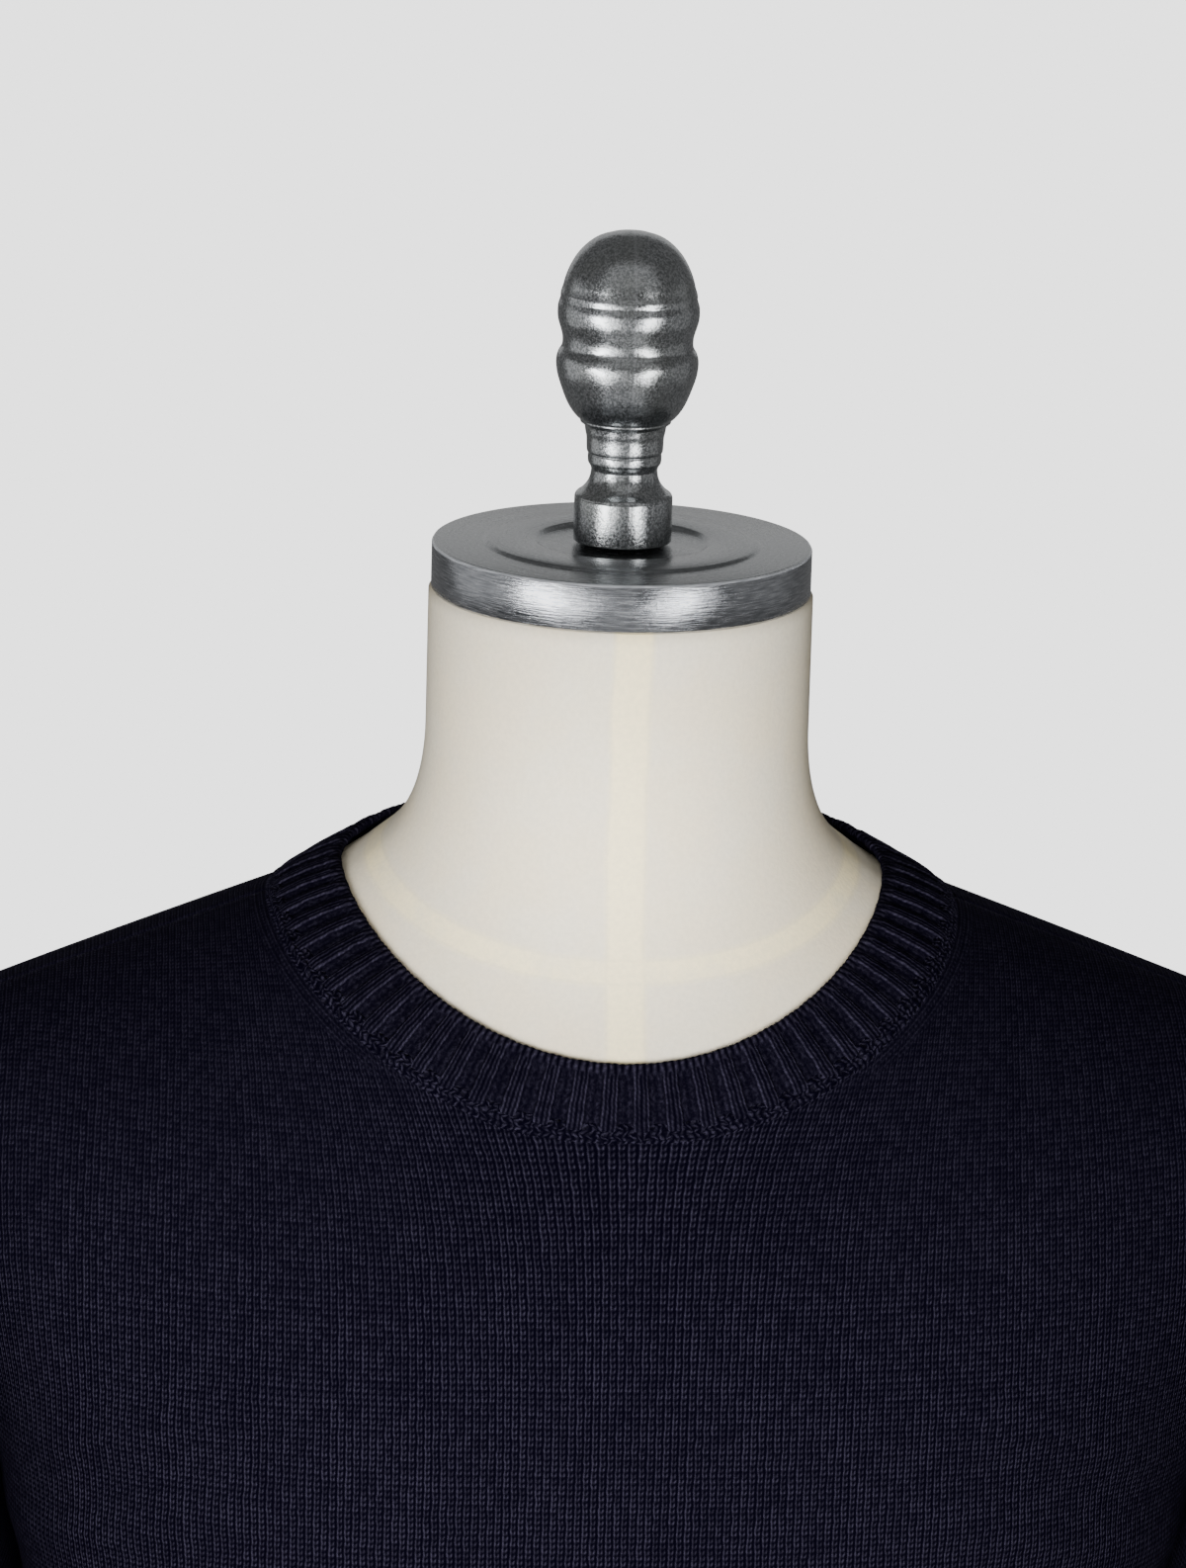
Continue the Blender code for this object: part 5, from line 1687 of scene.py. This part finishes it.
def softbox(row, floor):
    """A softbox that faces the neck from its azimuth. It leaves the floor alone, and the form's cover
    too where its row says so. Its power is pi times its radiance times its area."""
    light = bpy.data.lights.new(row["name"], "AREA")
    light.shape = "RECTANGLE"
    light.size, light.size_y = float(row["width"]), float(row["tall"])
    light.energy = float(row["radiance"] * math.pi * row["width"] * row["tall"])
    turn = math.radians(row["azimuth"])
    place = Vector((math.sin(turn), -math.cos(turn), 0)) * float(row["distance"])
    place.z = float(row["height"])
    made = bpy.data.objects.new(row["name"], light)
    made.location = place
    made.rotation_euler = (Vector((0, 0, place.z)) - place).to_track_quat("-Z", "Z").to_euler()
    made.visible_camera = False
    made.visible_glossy = bool(row["mirrored"])
    made.visible_diffuse = bool(row["lit"])
    bpy.context.scene.collection.objects.link(made)
    beside = bpy.data.collections.new(row["name"] + " leaves out")
    beside.objects.link(floor)
    if not row["cover"]:
        beside.objects.link(bpy.data.objects["dress_form_cover"])
    made.light_linking.receiver_collection = beside
    for kept in beside.collection_objects:
        kept.light_linking.link_state = "EXCLUDE"


def neck_spot(stage):
    """A narrow spot from the front that reaches the form's cover alone, and fades towards its sides.
    Its cone is as wide as the pool of light at that distance."""
    light = bpy.data.lights.new("neck spot", "SPOT")
    light.energy = stage.spot
    light.shadow_soft_size = SPOT_SIZE
    light.spot_blend = SPOT_FADE
    made = bpy.data.objects.new("neck spot", light)
    made.location = SPOT_FROM
    away = Vector(SPOT_AT) - Vector(SPOT_FROM)
    light.spot_size = 2 * math.atan(SPOT_RADIUS / away.length)
    made.rotation_euler = away.to_track_quat("-Z", "Z").to_euler()
    bpy.context.scene.collection.objects.link(made)
    only = bpy.data.collections.new("neck spot reaches")
    only.objects.link(bpy.data.objects["dress_form_cover"])
    made.light_linking.receiver_collection = only
    made.visible_glossy = False


def studio_floor(stage):
    """A wide pale square of matt paper with a sun of its own that brings it to the floor's radiance: pi
    times the difference between that radiance over the share it sends back and the surround's."""
    scene = bpy.context.scene
    mesh = bpy.data.meshes.new("studio_floor")
    far = FLOOR_HALF
    mesh.from_pydata([(-far, -far, 0), (far, -far, 0), (far, far, 0), (-far, far, 0)], [], [(0, 1, 2, 3)])
    floor = bpy.data.objects.new("studio_floor", mesh)
    scene.collection.objects.link(floor)
    material, _, surface = new_material("pale studio floor")
    surface.inputs["Base Color"].default_value = (FLOOR_SHARE, FLOOR_SHARE, FLOOR_SHARE, 1)
    surface.inputs["Roughness"].default_value = 1.0
    surface.inputs["Specular IOR Level"].default_value = 0.0
    mesh.materials.append(material)
    floor.visible_diffuse = False
    floor.visible_glossy = False
    sun = bpy.data.lights.new("floor light", "SUN")
    sun.energy = math.pi * (stage.floor_tone / FLOOR_SHARE - stage.surround)
    sun.angle = FLOOR_LIGHT_SPREAD
    above = bpy.data.objects.new("floor light", sun)
    scene.collection.objects.link(above)
    only = bpy.data.collections.new("floor light reaches")
    only.objects.link(floor)
    above.light_linking.receiver_collection = only
    return floor


def surround(stage):
    """A surround that lights the pieces dimly, but looks like the floor to the camera."""
    world = bpy.data.worlds.new("studio surround")
    world.use_nodes = True
    background = world.node_tree.nodes["Background"]
    background.inputs["Color"].default_value = (1, 1, 1, 1)
    seen = add(world.node_tree, "LightPath")
    strength = add(world.node_tree, "Mix", {0: seen, 2: stage.surround, 3: stage.floor_tone})
    world.node_tree.links.new(strength, background.inputs["Strength"])
    bpy.context.scene.world = world


def studio_camera(stage):
    """The camera: its pan and tilt give the way it looks, and its roll turns it about that."""
    camera = bpy.data.cameras.new("studio camera")
    camera.sensor_width = SENSOR_WIDTH
    camera.lens = stage.lens
    camera.clip_end = CLIP_END
    holder = bpy.data.objects.new("studio camera", camera)
    forward = Vector(
        (
            math.sin(stage.pan) * math.cos(stage.tilt),
            math.cos(stage.pan) * math.cos(stage.tilt),
            -math.sin(stage.tilt),
        )
    )
    right = forward.cross(Vector((0, 0, 1))).normalized()
    up = right.cross(forward)
    turned_right = right * math.cos(stage.roll) + up * math.sin(stage.roll)
    turned_up = up * math.cos(stage.roll) - right * math.sin(stage.roll)
    axes = Matrix((turned_right, turned_up, -forward)).transposed()
    holder.matrix_world = Matrix.Translation(stage.place) @ axes.to_4x4()
    bpy.context.scene.collection.objects.link(holder)
    bpy.context.scene.camera = holder


def build_stage(stage):
    """The floor, the surround, the softboxes, the neck's spot and the camera."""
    floor = studio_floor(stage)
    surround(stage)
    for row in LIGHTS:
        softbox(row, floor)
    neck_spot(stage)
    studio_camera(stage)


class SWEATER_PT_panel(bpy.types.Panel):
    """Buttons that build the sweater and its form piece by piece"""

    bl_label = "Crew neck sweater"
    bl_space_type = "VIEW_3D"
    bl_region_type = "UI"
    bl_category = "Sweater"

    def draw(self, context):
        for kind in OPERATORS:
            self.layout.operator(kind.bl_idname)
        for group in (context.scene.sweater, context.scene.sweater_stage):
            for name in group.__annotations__:
                self.layout.prop(group, name)


OPERATORS = (SWEATER_OT_form, SWEATER_OT_body, SWEATER_OT_sleeves, SWEATER_OT_ribs, SWEATER_OT_stage)
CLASSES = (SweaterSettings, StageSettings, *OPERATORS, SWEATER_PT_panel)


def register():
    """Registers the classes and hangs the settings on the scene."""
    for kind in CLASSES:
        bpy.utils.register_class(kind)
    bpy.types.Scene.sweater = PointerProperty(type=SweaterSettings)
    bpy.types.Scene.sweater_stage = PointerProperty(type=StageSettings)


def unregister():
    """Takes the settings and the classes away again."""
    del bpy.types.Scene.sweater
    del bpy.types.Scene.sweater_stage
    for kind in reversed(CLASSES):
        bpy.utils.unregister_class(kind)


def main():
    """Builds every piece and the stage."""
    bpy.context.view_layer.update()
    register()
    bpy.ops.sweater.form()
    bpy.ops.sweater.body()
    bpy.ops.sweater.sleeves()
    bpy.ops.sweater.ribs()
    bpy.ops.sweater.stage()


if __name__ == "__main__":
    main()
